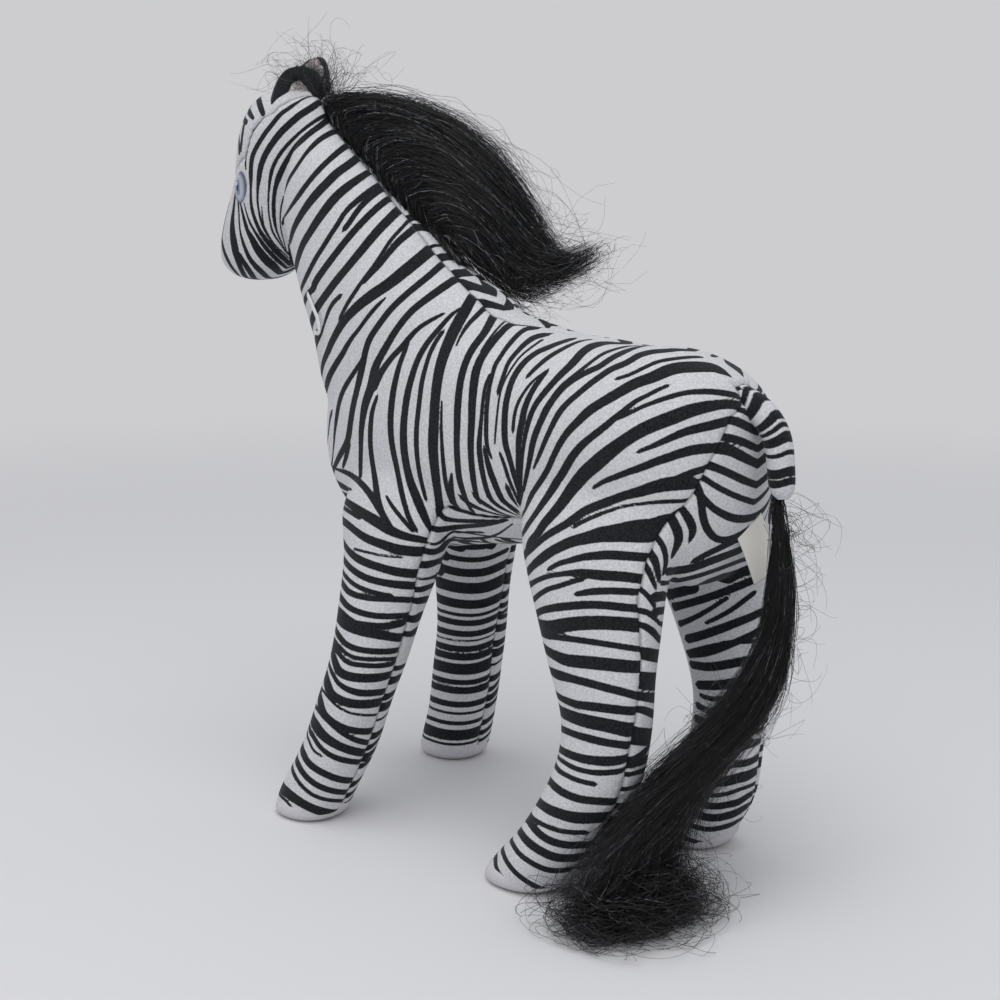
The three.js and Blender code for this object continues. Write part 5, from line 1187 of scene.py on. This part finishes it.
ear_cloth, lining_cloth = material("black_velour", black_velour), material("pink_lining", pink_lining)
for hand, (*seat, fat) in EARS.items():
    edge = np.hypot(u, np.maximum(v - 0.12, 0) / 0.88)
    rim = 1.3 + fat * ease((edge - 0.36) / 0.24)
    closing = np.sqrt(np.clip(1 - np.maximum(np.abs(u), v) ** 14, 0, 1)) * np.sqrt(ease(v / 0.03))
    open_wide = np.interp(fat, [0.9, 4.0], [0.92, 0.56])  # share of the blade that is hollow
    patch_u = open_wide * u * np.sqrt(np.clip(1 - v**3, 0, 1))
    patch_v = 0.02 + (open_wide - 0.02) * v
    inside = ear_shell(patch_u, patch_v, 0.75)
    inside[..., 1] -= 0.35 * np.sin(9 * patch_u + 3 * np.sin(11 * patch_v)) * np.sin(14 * patch_v + 2)
    patch_thick = 0.8 * np.sqrt(np.clip(1 - np.maximum(np.abs(u), np.abs(2 * v - 1)) ** 10, 0, 1))
    for part, middle, thick, cloth, slot, node in (
            ("cover", ear_shell(u, v, -0.3), rim * closing, ear_cloth, "black_velour", f"ear_{hand}"),
            ("inside", inside, patch_thick, lining_cloth, "pink_lining", f"ear_{hand}_lining")):
        verts, faces = thick_sheet(middle, thick)
        ear = merged_piece(f"ear_{hand}_{part}", turned(verts, *seat), faces)
        ear.data.materials.append(cloth)
        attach(ear, f"{hand}_ear")
        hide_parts(node)


# ---- Eyes -----------------------------------------------------------------------------------
# Flat embroidered eyes: satin stitch in white and blue thread with a grey-blue outline and a
# dark pupil, standing just proud of the cheek.
EYE_Y, EYE_Z, EYE_LONG, EYE_TALL = -124.2, 242.6, 4.3, 6.4


def eye_thread(t):
    spot = add(t, "UVMap", uv_map="eye").outputs["UV"]
    parts = add(t, "SeparateXYZ", {"Vector": spot})
    stitch = add(t, "TexWave", {"Vector": spot, "Scale": 9.0, "Distortion": 0.6}).outputs["Fac"]
    ramp = add(t, "ValToRGB", {"Fac": parts.outputs["Y"]})
    ramp.color_ramp.interpolation = "CONSTANT"
    stops = [(0.0, "#101116"), (0.26, "#8fa6c4"), (0.46, "#7f8ca6"), (0.5, "#ccd2de"),
             (0.78, "#a7adc0"), (0.9, "#6e7286")]
    for k, (at, colour) in enumerate(stops):
        stop = ramp.color_ramp.elements[k] if k < 2 else ramp.color_ramp.elements.new(at)
        stop.position, stop.color = at, linear(colour)
    # Painted sheen: the stitch rows are made lighter and darker in the thread colour, as light along
    # the satin stitches.
    painted_stitch_sheen = add(t, "MapRange", {"Value": stitch, "To Min": 0.82, "To Max": 1.0}).outputs[0]
    colour = add(t, "Mix", {"Factor": 1.0, "A": ramp.outputs[0], "B": painted_stitch_sheen}, data_type="RGBA",
                 blend_type="MULTIPLY").outputs["Result"]
    # A few white stitches, up and back from the middle of the pupil, stand for the light in it.
    across = add(t, "TexCoord").outputs["Object"]
    place = add(t, "SeparateXYZ", {"Vector": across})
    centre = in_frame((0, EYE_Y - 2.2, EYE_Z + 1.5))
    flat = add(t, "CombineXYZ", {"Y": place.outputs["Y"], "Z": place.outputs["Z"]}).outputs[0]
    off = add(t, "VectorMath", {0: flat, 1: (0.0, centre[1], centre[2])}, operation="DISTANCE")
    light = add(t, "Math", {0: off.outputs["Value"], 1: 0.00075}, operation="LESS_THAN").outputs[0]
    colour = add(t, "Mix", {"Factor": light, "A": colour, "B": linear("#eef1f7")},
                 data_type="RGBA").outputs["Result"]
    bump = add(t, "Bump", {"Height": stitch, "Strength": 0.5, "Distance": 0.0002}).outputs[0]
    return add(t, "BsdfPrincipled", {"Base Color": colour, "Roughness": 0.45, "Normal": bump})


thread = material("satin_stitch", eye_thread)
r, a = np.meshgrid(np.linspace(0.04, 1, 17), np.arange(48) * 2 * np.pi / 48, indexing="ij")
y = EYE_Y + EYE_LONG * r * np.cos(a) + 0.9 * r * np.sin(a)
z = EYE_Z + EYE_TALL * r * np.sin(a) * (1 - 0.18 * np.cos(a) ** 2)
lift = 0.35 + 0.3 * np.sqrt(np.clip(1 - r**6, 0, 1))
for hand, sign in (("left", 1), ("right", -1)):
    beside = np.stack((np.full(r.shape, 60 * sign), y, z), -1).reshape(-1, 3)
    at = struck(beside, (-sign, 0, 0))[1].reshape(17, 48, 3)
    top = at + np.stack((sign * lift, 0 * r, 0 * r), -1)
    under = at - np.array((0.6 * sign, 0, 0))
    rings_at = np.concatenate((under, top[::-1]))
    if sign > 0:
        rings_at = rings_at[:, ::-1]
    verts, faces = closed_rings(rings_at, under[0].mean(0), top[0].mean(0))
    eye = mesh_piece(f"eye_{hand}_stitched", verts, faces)
    plane = np.column_stack(((verts[:, 1] - EYE_Y) / EYE_LONG, (verts[:, 2] - EYE_Z) / EYE_TALL))
    far = np.hypot(*plane.T)
    far = np.clip(np.hypot(plane[:, 0] + 0.45 * (1 - np.clip(far, 0, 1)), plane[:, 1]), 0, 1)
    corner = np.zeros(len(eye.data.loops), int)
    eye.data.loops.foreach_get("vertex_index", corner)
    layer = eye.data.uv_layers.new(name="eye")
    layer.data.foreach_set("uv", np.column_stack((plane[corner, 1] * 3, far[corner])).ravel())
    eye.data.materials.append(thread)
    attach(eye, "body")
    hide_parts(f"eye_{hand}")


# ---- Sewn-in label --------------------------------------------------------------------------
# A short end of white polyester satin ribbon caught in a seam beside the tail, left blank; it is
# crisp, with a soft gloss across the weave, and its free end stands out from the rump.
LABEL_WIDE, LABEL_LONG, LABEL_FLARE = 14.0, 20.0, 3.4
LABEL_MID = np.array((-0.6, 0, 129.0))  # the middle of its sewn edge
LABEL_ALONG = np.array((0.86, 0, -0.50))  # the way that edge runs, lower towards the left flank
LABEL_DOWN = np.array((-0.40, 0, -0.90))  # the way the ribbon hangs, drawn in under the tail hair
u, v = np.meshgrid(np.linspace(-0.5, 0.5, 21), np.linspace(0, 1, 25), indexing="ij")
middle = LABEL_MID + LABEL_WIDE * u[..., None] * LABEL_ALONG
middle = middle + 0.975 * LABEL_LONG * v[..., None] * LABEL_DOWN
seam_y = struck(middle[:, 0] * (1, 0, 1) + (0, 300, 0), -backwards)[1][:, 1:2]
middle[..., 1] = seam_y + 0.35 + LABEL_FLARE * v**0.9 + 0.8 * np.sin(5 * u + 2 * v) * v
ribbon_thick = np.full(u.shape, 0.22)
ribbon_thick[[0, -1]] = 0
ribbon_thick[:, [0, -1]] = 0


def white_satin(t):
    where = add(t, "TexCoord").outputs["Object"]
    weave = add(t, "TexWave", {"Vector": where, "Scale": 900.0, "Distortion": 0.3},
                bands_direction="Z").outputs["Fac"]
    colour = add(t, "Mix", {"Factor": weave, "A": linear("#e6e4dd"), "B": linear("#f6f4ee")},
                 data_type="RGBA").outputs["Result"]
    bump = add(t, "Bump", {"Height": weave, "Strength": 0.2, "Distance": 0.0002}).outputs[0]
    return add(t, "BsdfPrincipled", {"Base Color": colour, "Roughness": 0.5, "Normal": bump})


ribbon = merged_piece("label_ribbon", *thick_sheet(middle, ribbon_thick))
ribbon.data.materials.append(material("white_satin", white_satin))
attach(ribbon, "label")
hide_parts("sewn_label")


# ---- Tag strap ------------------------------------------------------------------------------
# The cut end of a clear nylon tag loop, a thin flat strap bent back on itself and left standing
# in the seam at the throat.
def clear_nylon(t):
    return add(t, "BsdfPrincipled", {
        "Base Color": linear("#eef0f1"), "Roughness": 0.25, "IOR": 1.53, "Transmission Weight": 0.2})


strap_path = along(np.array([(20.8, -82.8, 201.6), (22.9, -80.0, 200.2), (24.3, -76.2, 196.3),
                             (25.5, -72.2, 191.8), (26.1, -70.6, 187.6), (25.2, -72.4, 185.9),
                             (23.8, -76.2, 186.3)]), 8)
rings_at = swept(strap_path, np.full(len(strap_path), 0.35), np.full(len(strap_path), 0.8), 12, 3.0)
strap = mesh_piece("tag_strap", *closed_rings(rings_at, strap_path[0], strap_path[-1]))
strap.data.materials.append(material("clear_nylon", clear_nylon))
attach(strap, "tag")
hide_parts("tag_loop")


# ---- Mane -----------------------------------------------------------------------------------
# A sewn weft of straight black synthetic fibre along the crest. It stands a little at the root,
# falls back over the right of the neck and turns up at the tip, with loose flyaway fibres.
def black_fibre(t):
    where = add(t, "TexCoord").outputs["Object"]
    mix = add(t, "TexNoise", {"Vector": where, "Scale": 90.0, "Detail": 2.0}).outputs["Fac"]
    colour = add(t, "Mix", {"Factor": mix, "A": linear("#050506"), "B": linear("#141518")},
                 data_type="RGBA").outputs["Result"]
    # Painted highlight: light grey patches along some fibres, painted into the base colour as glints.
    catch = add(t, "TexNoise", {"Vector": where, "Scale": 520.0, "Detail": 3.0}).outputs["Fac"]
    painted_glint = add(t, "MapRange", {"Value": catch, "From Min": 0.42, "From Max": 0.6}).outputs[0]
    fibre_gleam = add(t, "Attribute", attribute_name="gleam").outputs["Fac"]
    painted_glint = add(t, "Math", {0: painted_glint, 1: fibre_gleam}, operation="MULTIPLY").outputs[0]
    colour = add(t, "Mix", {"Factor": painted_glint, "A": colour, "B": linear("#9a9da3")},
                 data_type="RGBA").outputs["Result"]
    return add(t, "BsdfPrincipled", {"Base Color": colour, "Roughness": 0.3,
                                     "Specular IOR Level": 0.5})


fibre = material("black_fibre", black_fibre)


def hair(name, paths, radius):
    """Closed three-sided tubes round the strands (n, m, 3), radius * sqrt(1 - 0.85 t) to the tip."""
    n, m = paths.shape[:2]
    run = unit(np.gradient(paths, axis=1))
    side = unit(np.cross(run, np.array((0.31, 0.42, 0.85))))
    up = np.cross(run, side)
    a = np.arange(3) * 2 * np.pi / 3
    thin = radius * np.sqrt(1 - 0.85 * np.linspace(0, 1, m))[:, None, None]
    rings_at = paths[:, :, None] + thin * (side[:, :, None] * np.cos(a)[:, None]
                                           + up[:, :, None] * np.sin(a)[:, None])
    base = (np.arange(n) * m * 3)[:, None, None]
    i, j = np.meshgrid(np.arange(m - 1), np.arange(3), indexing="ij")
    k = (j + 1) % 3
    quads = np.stack((i * 3 + j, i * 3 + k, (i + 1) * 3 + k, (i + 1) * 3 + j), -1)
    quads = quads.reshape(1, -1, 4) + base
    ends = np.array(((2, 1, 0), (3 * m - 3, 3 * m - 2, 3 * m - 1)))[None] + base
    mesh = bpy.data.meshes.new(name)
    corners = np.concatenate((quads.ravel(), ends.ravel())).astype(np.int32)
    sizes = np.repeat((4, 3), (quads.size // 4, 2 * n))
    mesh.vertices.add(n * m * 3)
    mesh.vertices.foreach_set("co", in_frame(rings_at.reshape(-1, 3)).ravel())
    mesh.loops.add(len(corners))
    mesh.loops.foreach_set("vertex_index", corners)
    mesh.polygons.add(len(sizes))
    mesh.polygons.foreach_set("loop_start", (np.cumsum(sizes) - sizes).astype(np.int32))
    mesh.polygons.foreach_set("use_smooth", np.ones(len(sizes), bool))
    mesh.update(calc_edges=True)
    # One fibre in ten gets painted highlights: of an even spread, 0.9..1 goes to 0.35..1, the rest to
    # 0.
    spread = (np.arange(n) * 0.6180339887) % 1
    gleam = np.where(spread > 0.9, 0.35 + 6.5 * (spread - 0.9), 0)
    record(mesh, gleam=np.repeat(gleam, m * 3))
    piece = bpy.data.objects.new(name, mesh)
    bpy.context.scene.collection.objects.link(piece)
    piece.data.materials.append(fibre)
    return piece


MANE_ROOT = np.array(((1.0, -84.0, 270.3), (-1.5, -21.0, 213.5)))
MANE_LOCKS = np.array([  # from the poll to the withers: x, y in the view, and sheet x, along each lock
    [(330, 103, 2), (350, 99, 0), (385, 103, -5), (425, 114, -11), (462, 134, -17), (493, 160, -22),
     (516, 190, -26), (534, 222, -29), (550, 250, -31)],
    [(352, 130, 2), (375, 118, -1), (412, 122, -7), (450, 140, -13), (482, 166, -18), (506, 196, -23),
     (524, 225, -26), (542, 250, -29), (565, 262, -31)],
    [(380, 165, 2), (405, 150, -2), (440, 158, -8), (472, 182, -13), (497, 210, -18), (517, 238, -23),
     (540, 260, -27), (568, 266, -31), (600, 247, -33)],
    [(408, 202, 1), (432, 188, -3), (460, 198, -8), (484, 220, -13), (505, 246, -18), (525, 266, -22),
     (550, 272, -26), (575, 268, -29), (596, 252, -31)],
    [(428, 225, -1), (448, 220, -4), (468, 230, -8), (487, 250, -12), (502, 268, -15), (516, 281, -18),
     (530, 288, -21), (544, 289, -23), (558, 285, -25)],
    [(442, 240, -2), (458, 243, -4), (472, 256, -7), (485, 270, -10), (496, 281, -12), (506, 290, -14),
     (516, 299, -16), (526, 305, -18), (537, 308, -19)],
], float)
mane_form = seen_at(*np.moveaxis(MANE_LOCKS, 2, 0)).swapaxes(0, 1)
mane_form = along(mane_form, 4).swapaxes(0, 1)  # locks, points, 3
MANE_SPOTS = np.array((0, 0.2, 0.45, 0.7, 0.88, 1))  # where each lock springs along the root
mane_form[:, 0] = MANE_ROOT[0] + MANE_SPOTS[:, None] * (MANE_ROOT[1] - MANE_ROOT[0])


def lock_at(s, q):
    """The mane's form at s from poll to withers and q from root to tip, read between the locks."""
    k = np.interp(s, MANE_SPOTS, np.arange(6))
    f = q * (mane_form.shape[1] - 1)
    i, j = np.minimum(k.astype(int), 4), np.minimum(f.astype(int), mane_form.shape[1] - 2)
    a, b = (k - i)[..., None], (f - j)[..., None]
    return ((1 - a) * (1 - b) * mane_form[i, j] + a * (1 - b) * mane_form[i + 1, j]
            + (1 - a) * b * mane_form[i, j + 1] + a * b * mane_form[i + 1, j + 1])


def strands(rng, count, points, spread, wave, turns, reach, tufts=70):
    """Mane strands: form(s, q) + spread(q) (tuft's offset + own offset) + wave(q) (sin of own phase
    and turns); each tuft of strands shares a place s, an offset and a slow bend, as clinging fibre
    does."""
    tuft = rng.integers(0, tufts, count)
    s = rng.uniform(0, 1, tufts)[tuft][:, None] ** 1.5 + 0.03 * rng.normal(size=(count, 1))
    s = np.clip(s, 0, 1) + 0 * points
    q = points * rng.uniform(*reach, (count, 1))
    at = lock_at(np.clip(s + 0.05 * rng.normal(size=(count, 1)) * q, 0, 1), q)
    shared = rng.normal(size=(tufts, 1, 3))[tuft] + 0.8 * np.sin(
        2 * np.pi * (0.9 * q[..., None] + rng.uniform(0, 1, (tufts, 1, 3))[tuft]))
    own = rng.normal(size=(count, 1, 3))
    beat = (rng.uniform(*turns, (count, 1)) * q)[..., None] + rng.uniform(0, 1, (count, 1, 3))
    foot = lock_at(s[:, :1], 0 * q[:, :1])[:, 0]
    aside = rng.uniform(-1, 1, count) * np.interp(s[:, 0], [0.5, 0.8], [2.6, 1.0])
    aside += np.interp(s[:, 0], [0.5, 0.8], [2.2, 0])
    seat = on_skin(foot + np.outer(aside, (1, 0, 0))) - foot
    place = spread(q)[..., None] * (0.62 * shared + 0.55 * own)
    curl = wave(q)[..., None] * np.sin(2 * np.pi * beat)
    return at + seat[:, None] * ease(1 - q / 0.25)[..., None] + place + curl


def wisps(rng, foot, low, high, reach, loop, points):
    """Long loose fibres: root + reach * unit way * q - 0.32 reach q^2 down + slow loops of their own.
    The ways are drawn evenly from the box low..high."""
    count = len(foot)
    way = unit(rng.uniform(low, high, (count, 3)))
    reach = rng.uniform(*reach, (count, 1, 1))
    q = points[..., None]
    turns = rng.uniform(0.4, 1.7, (count, 1, 1))
    swing = np.sin(2 * np.pi * (turns * q + rng.uniform(0, 1, (count, 1, 3))))
    start = np.sin(2 * np.pi * rng.uniform(0, 1, (count, 1, 3)))
    sag = np.array((0, 0, -0.32)) * reach * q**2
    loops = rng.uniform(*loop, (count, 1, 1)) * q * (swing - 0.3 * start)
    return foot[:, None] + reach * way[:, None] * q + sag + loops


rng = np.random.default_rng(7)
points = np.linspace(0, 1, 15)[None]
fine_points = np.linspace(0, 1, 26)[None]
body_spread = lambda q: 0.4 + 4.2 * np.sqrt(q) * (1 - 0.5 * q)
poll_feet = on_skin(np.stack((rng.uniform(-7, 7, 200), rng.uniform(-98, -76, 200),
                              np.full(200, 284.0)), -1))
edge_feet = lock_at(rng.uniform(0, 0.95, 520) ** 1.5, rng.uniform(0.15, 1.0, 520))
mane_parts = [
    ("mane_under", 0.17,
     strands(rng, 1600, points, body_spread, lambda q: 0.15 + 0.7 * q, (1, 3), (0.6, 1))),
    ("mane_over", 0.14,
     strands(rng, 1900, points, body_spread, lambda q: 0.2 + 1.1 * q, (2, 5), (0.5, 1))),
    ("mane_frizz", 0.09,
     strands(rng, 650, fine_points, lambda q: 0.8 + 4.8 * np.sqrt(q), lambda q: 0.5 + 1.7 * q, (3, 7),
             (0.3, 1.02), 400)),
    ("mane_flyaway", 0.09,
     strands(rng, 210, fine_points, lambda q: 0.8 + 8 * q, lambda q: 0.6 + 5.5 * q, (1, 3.5),
             (0.5, 1.12), 210)),
    ("mane_curls", 0.085,
     wisps(rng, edge_feet, (-0.9, -0.3, -0.2), (0.5, 1.0, 1.0), (4, 14), (1.5, 5), fine_points)),
    ("poll_wisps", 0.085,
     wisps(rng, poll_feet, (-0.7, -1.2, 0.35), (0.7, 0.6, 1.1), (14, 40), (2, 8), fine_points)),
]
for name, radius, paths in mane_parts:
    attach(hair(name, paths, radius), "mane")
u, v = np.meshgrid(np.linspace(0.01, 0.85, 29), np.linspace(0.0, 0.86, 29), indexing="ij")
body_thick = 6.5 * np.sqrt(np.clip(1 - (2 * (u - 0.01) / 0.84 - 1) ** 8, 0, 1)
                           * np.clip(np.sin(np.pi * v / 0.86), 0, 1))
core = merged_piece("mane_core", *thick_sheet(lock_at(u, v), body_thick))
core.data.materials.append(fibre)
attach(core, "mane")
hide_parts("mane_hair")
weft_path = MANE_ROOT[0] + np.linspace(0, 1, 90)[:, None] * (MANE_ROOT[1] - MANE_ROOT[0])
weft_path = weft_path - (0, 0.9, 1.1)  # sunk to where the crest seam holds it
stitch = 0.9 + 0.16 * np.sin(np.arange(90) * 1.9)
rings_at = swept(weft_path, stitch, 2.3 * stitch ** 0.4, 14)
weft = mesh_piece("mane_band", *closed_rings(rings_at, weft_path[0], weft_path[-1]))
weft.data.materials.append(fibre)
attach(weft, "body")
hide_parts("mane_weft")


# ---- Tail hair ------------------------------------------------------------------------------
# A long lock of the same fibre knotted into the end of the tail. It hangs straight, fans out
# where it nears the floor and ends in a tangle of loose curls.
LOCK = np.array([(0, 121, 140.5), (0, 122.5, 128), (0.2, 123.4, 112), (0.8, 122.6, 94),
                 (4.5, 119.5, 78), (13, 112.5, 62), (26.5, 104, 46), (37.5, 97.5, 31), (43, 94.5, 18),
                 (44.5, 94.5, 9)], float)
PILE_X, PILE_Y = 44, 98  # the middle of the pile
FLOOR_GAP = 0.4  # mm from the floor to the middle line of the lowest fibres
lock_line = along(LOCK, 6)


def lock_point(q):
    """The lock's middle line at q from 0 at the knot to 1 in the pile."""
    f = q * (len(lock_line) - 1)
    i = np.minimum(f.astype(int), len(lock_line) - 2)
    return lock_line[i] + (f - i)[..., None] * (lock_line[i + 1] - lock_line[i])


def kept_near(at):
    """Draws strands that stray to the left flank back, x > 66 going to 66 + 11 tanh((x - 66) / 11),
    and likewise behind, y > 128 to 128 + 11 tanh((y - 128) / 11)."""
    for axis, edge in ((0, 66), (1, 128)):
        over = np.maximum(at[..., axis] - edge, 0)
        at[..., axis] += 11 * np.tanh(over / 11) - over
    return at


def lock_strands(rng, count, points, reach_low, spread, curl, turns):
    """Lock strands: line(q) + spread(q) * disc offset + curl(q) * coil, kept above the floor."""
    q = points * rng.uniform(reach_low, 1.0, (count, 1))
    around, out = rng.uniform(0, 2 * np.pi, (count, 1)), np.sqrt(rng.uniform(0, 1, (count, 1)))
    wide = spread(q) * out
    fan = ease((q - 0.45) / 0.5)
    at = lock_point(q) + np.stack((wide * np.cos(around) * (1 + 0.25 * fan),
                                   wide * np.sin(around) * (1 - 0.35 * fan),
                                   0.2 * wide * np.sin(around * 2) * fan), -1)
    phase = rng.uniform(0, 2 * np.pi, (count, 1))
    beat = 2 * np.pi * rng.uniform(*turns, (count, 1)) * q + phase
    tilt = rng.normal(size=(count, 1))
    size = curl(q) * rng.uniform(0.4, 1.4, (count, 1))
    coil = np.stack((np.sin(beat), 0.8 * np.cos(beat), 0.6 * np.sin(beat + tilt)), -1)
    at = at + size[..., None] * coil
    above = at[..., 2] - FLOOR_GAP
    at[..., 2] = FLOOR_GAP + (np.sqrt(above ** 2 + 0.6) + above) / 2
    return kept_near(at)


def pile_strands(rng, count, points, wide, deep, tall, size):
    """Loops on the floor: a drifting circle round a centre in an ellipsoid, flattened on the floor."""
    a, r = rng.uniform(0, 2 * np.pi, (count, 1)), np.sqrt(rng.uniform(0, 1, (count, 1)))
    centre = np.stack((PILE_X + wide * r * np.cos(a),
                       PILE_Y + deep * r * np.sin(a) - 0.1 * wide * r * np.cos(a),
                       tall * rng.uniform(0.05, 1, (count, 1)) * np.sqrt(1 - 0.9 * r * r)), -1)
    loop = rng.uniform(*size, (count, 1))
    beat = rng.uniform(0, 2 * np.pi, (count, 1))
    beat = beat + rng.uniform(-1, 1, (count, 1)) * 2 * np.pi * 1.1 * points
    tip = rng.normal(size=(count, 1, 3)) * 0.35
    drift = rng.normal(size=(count, 1, 3)) * np.array((5, 4, 1.5))
    ring = np.stack((np.cos(beat), np.sin(beat), 0 * beat), -1)
    ring[..., 2] = (ring * tip).sum(-1)
    at = centre + drift * (points[..., None] - 0.5) + loop[..., None] * ring
    at[..., 2] = FLOOR_GAP + np.abs(at[..., 2] - FLOOR_GAP)
    return kept_near(at)


rng = np.random.default_rng(11)
fan = lambda q: 15.5 * (0.25 * ease((q - 0.28) / 0.3) + 0.75 * ease((q - 0.5) / 0.5) ** 1.3)
side_feet = lock_point(rng.uniform(0.02, 0.5, 70)) + rng.normal(size=(70, 3)) * (2, 2, 1)
low_feet = lock_point(rng.uniform(0.5, 0.95, 160)) + rng.normal(size=(160, 3)) * (7, 7, 4)
tail_parts = [
    ("tail_lock_inner", 0.17,
     lock_strands(rng, 1650, points, 0.75, lambda q: 0.9 + 3.3 * ease(q / 0.3) + 0.95 * fan(q),
                  lambda q: 0.15 + 2.2 * ease((q - 0.45) / 0.4), (2, 5))),
    ("tail_lock_outer", 0.14,
     lock_strands(rng, 1800, points, 0.6, lambda q: 1.0 + 3.9 * ease(q / 0.3) + 1.25 * fan(q),
                  lambda q: 0.2 + 3.5 * ease((q - 0.4) / 0.4), (2, 6))),
    ("tail_frizz", 0.09,
     lock_strands(rng, 420, fine_points, 0.45, lambda q: 1.0 + 4.6 * ease(q / 0.3) + 1.8 * fan(q),
                  lambda q: 0.2 + 4.2 * ease((q - 0.2) / 0.6), (2, 4))),
    ("tail_pile_inner", 0.17, pile_strands(rng, 1450, points, 20, 13, 21, (3, 8))),
    ("tail_pile_outer", 0.11, pile_strands(rng, 800, fine_points, 26, 17, 23, (4, 12))),
    ("tail_flyaway", 0.09, np.concatenate((
        lock_strands(rng, 110, fine_points, 0.3, lambda q: 1.5 + 15 * q * q + 5 * q,
                     lambda q: 1 + 8 * q, (1, 2.6)),
        pile_strands(rng, 190, fine_points, 34, 23, 18, (6, 17))))),
    ("tail_curls", 0.09, kept_near(np.concatenate((
        wisps(rng, side_feet, (-1.0, 0.2, -0.9), (0.1, 1.0, 0.5), (6, 18), (4, 9), fine_points),
        wisps(rng, low_feet, (-1.0, -1.0, -0.3), (1.0, 0.8, 0.7), (8, 22), (3, 8), fine_points))))),
]
for name, radius, paths in tail_parts:
    paths[..., 2] = np.maximum(paths[..., 2], 0.3)
    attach(hair(name, paths, radius), "tail_lock")
down = np.linspace(0, 1, 40)
line = lock_point(0.93 * down)
wide = np.interp(down, (0, 0.1, 0.5, 0.75, 0.95, 1), (1.0, 1.8, 3.0, 8, 13, 5))
rings_at = swept(line, wide, wide * np.interp(down, (0, 0.6, 1), (1, 1, 0.6)), 20)
rings_at[..., 2] = np.maximum(rings_at[..., 2], 0.5)
core = mesh_piece("tail_lock_core", *closed_rings(rings_at, line[0], line[-1]))
core.data.materials.append(fibre)
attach(core, "tail_lock")
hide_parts("tail_hair")


# ---- Floor, backdrop and lights -------------------------------------------------------------
PAPER = "#cdcdd0"


def paper(t):
    """Pale paper that is lit as it stands near the toy and goes over, 0.35 m to 1.4 m away and for
    the camera only, to the flat tone of the backdrop, as a sweep without a corner does."""
    where = add(t, "TexCoord").outputs["Object"]
    far = add(t, "VectorMath", {0: where}, operation="LENGTH").outputs["Value"]
    fade = add(t, "MapRange", {"Value": far, "From Min": 0.35, "From Max": 1.4},
               interpolation_type="SMOOTHSTEP").outputs[0]
    seen = add(t, "LightPath").outputs["Is Camera Ray"]
    fade = add(t, "Math", {0: fade, 1: seen}, operation="MULTIPLY").outputs[0]
    lit = add(t, "BsdfPrincipled", {"Base Color": linear("#e3e3e6"), "Roughness": 0.9}).outputs[0]
    flat = add(t, "Emission", {"Color": linear(PAPER), "Strength": 1.0}).outputs[0]
    return add(t, "MixShader", {0: fade, 1: lit, 2: flat})


corners = np.array(((-1, -1), (1, -1), (1, 1), (-1, 1))) * 30000.0
floor = mesh_piece("floor", np.column_stack((corners, np.full(4, -0.2))), [(0, 1, 2, 3)], smooth=False)
floor.data.materials.append(material("pale_paper", paper))
# The camera sees the paper's own tone behind the toy; every other ray meets a soft white sky.
world = bpy.data.worlds.new("studio")
world.use_nodes = True
bpy.context.scene.world = world
sky = world.node_tree
sky.nodes.clear()
seen = add(sky, "LightPath").outputs["Is Camera Ray"]
glow = add(sky, "Background", {"Color": linear("#f2f3f5"), "Strength": 0.6}).outputs[0]
backdrop = add(sky, "Background", {"Color": linear(PAPER), "Strength": 1.0}).outputs[0]
both = add(sky, "MixShader", {0: seen, 1: glow, 2: backdrop}).outputs[0]
add(sky, "OutputWorld", {"Surface": both})


def lamp(name, place, power, size):
    """A square area lamp at `place` (metres), aimed 15 cm above the middle of the floor."""
    made = bpy.data.objects.new(name, bpy.data.lights.new(name, "AREA"))
    made.data.energy, made.data.size = power, size
    made.location = place
    made.rotation_euler = (Vector((0, 0, 0.15)) - Vector(place)).to_track_quat("-Z", "Y").to_euler()
    bpy.context.scene.collection.objects.link(made)


lamp("softbox_over", (0.3, 0.2, 1.3), 6.5, 1.0)
lamp("softbox_side", (0.9, 0.3, 0.6), 1.2, 0.8)
bpy.context.scene.view_settings.view_transform = "Standard"
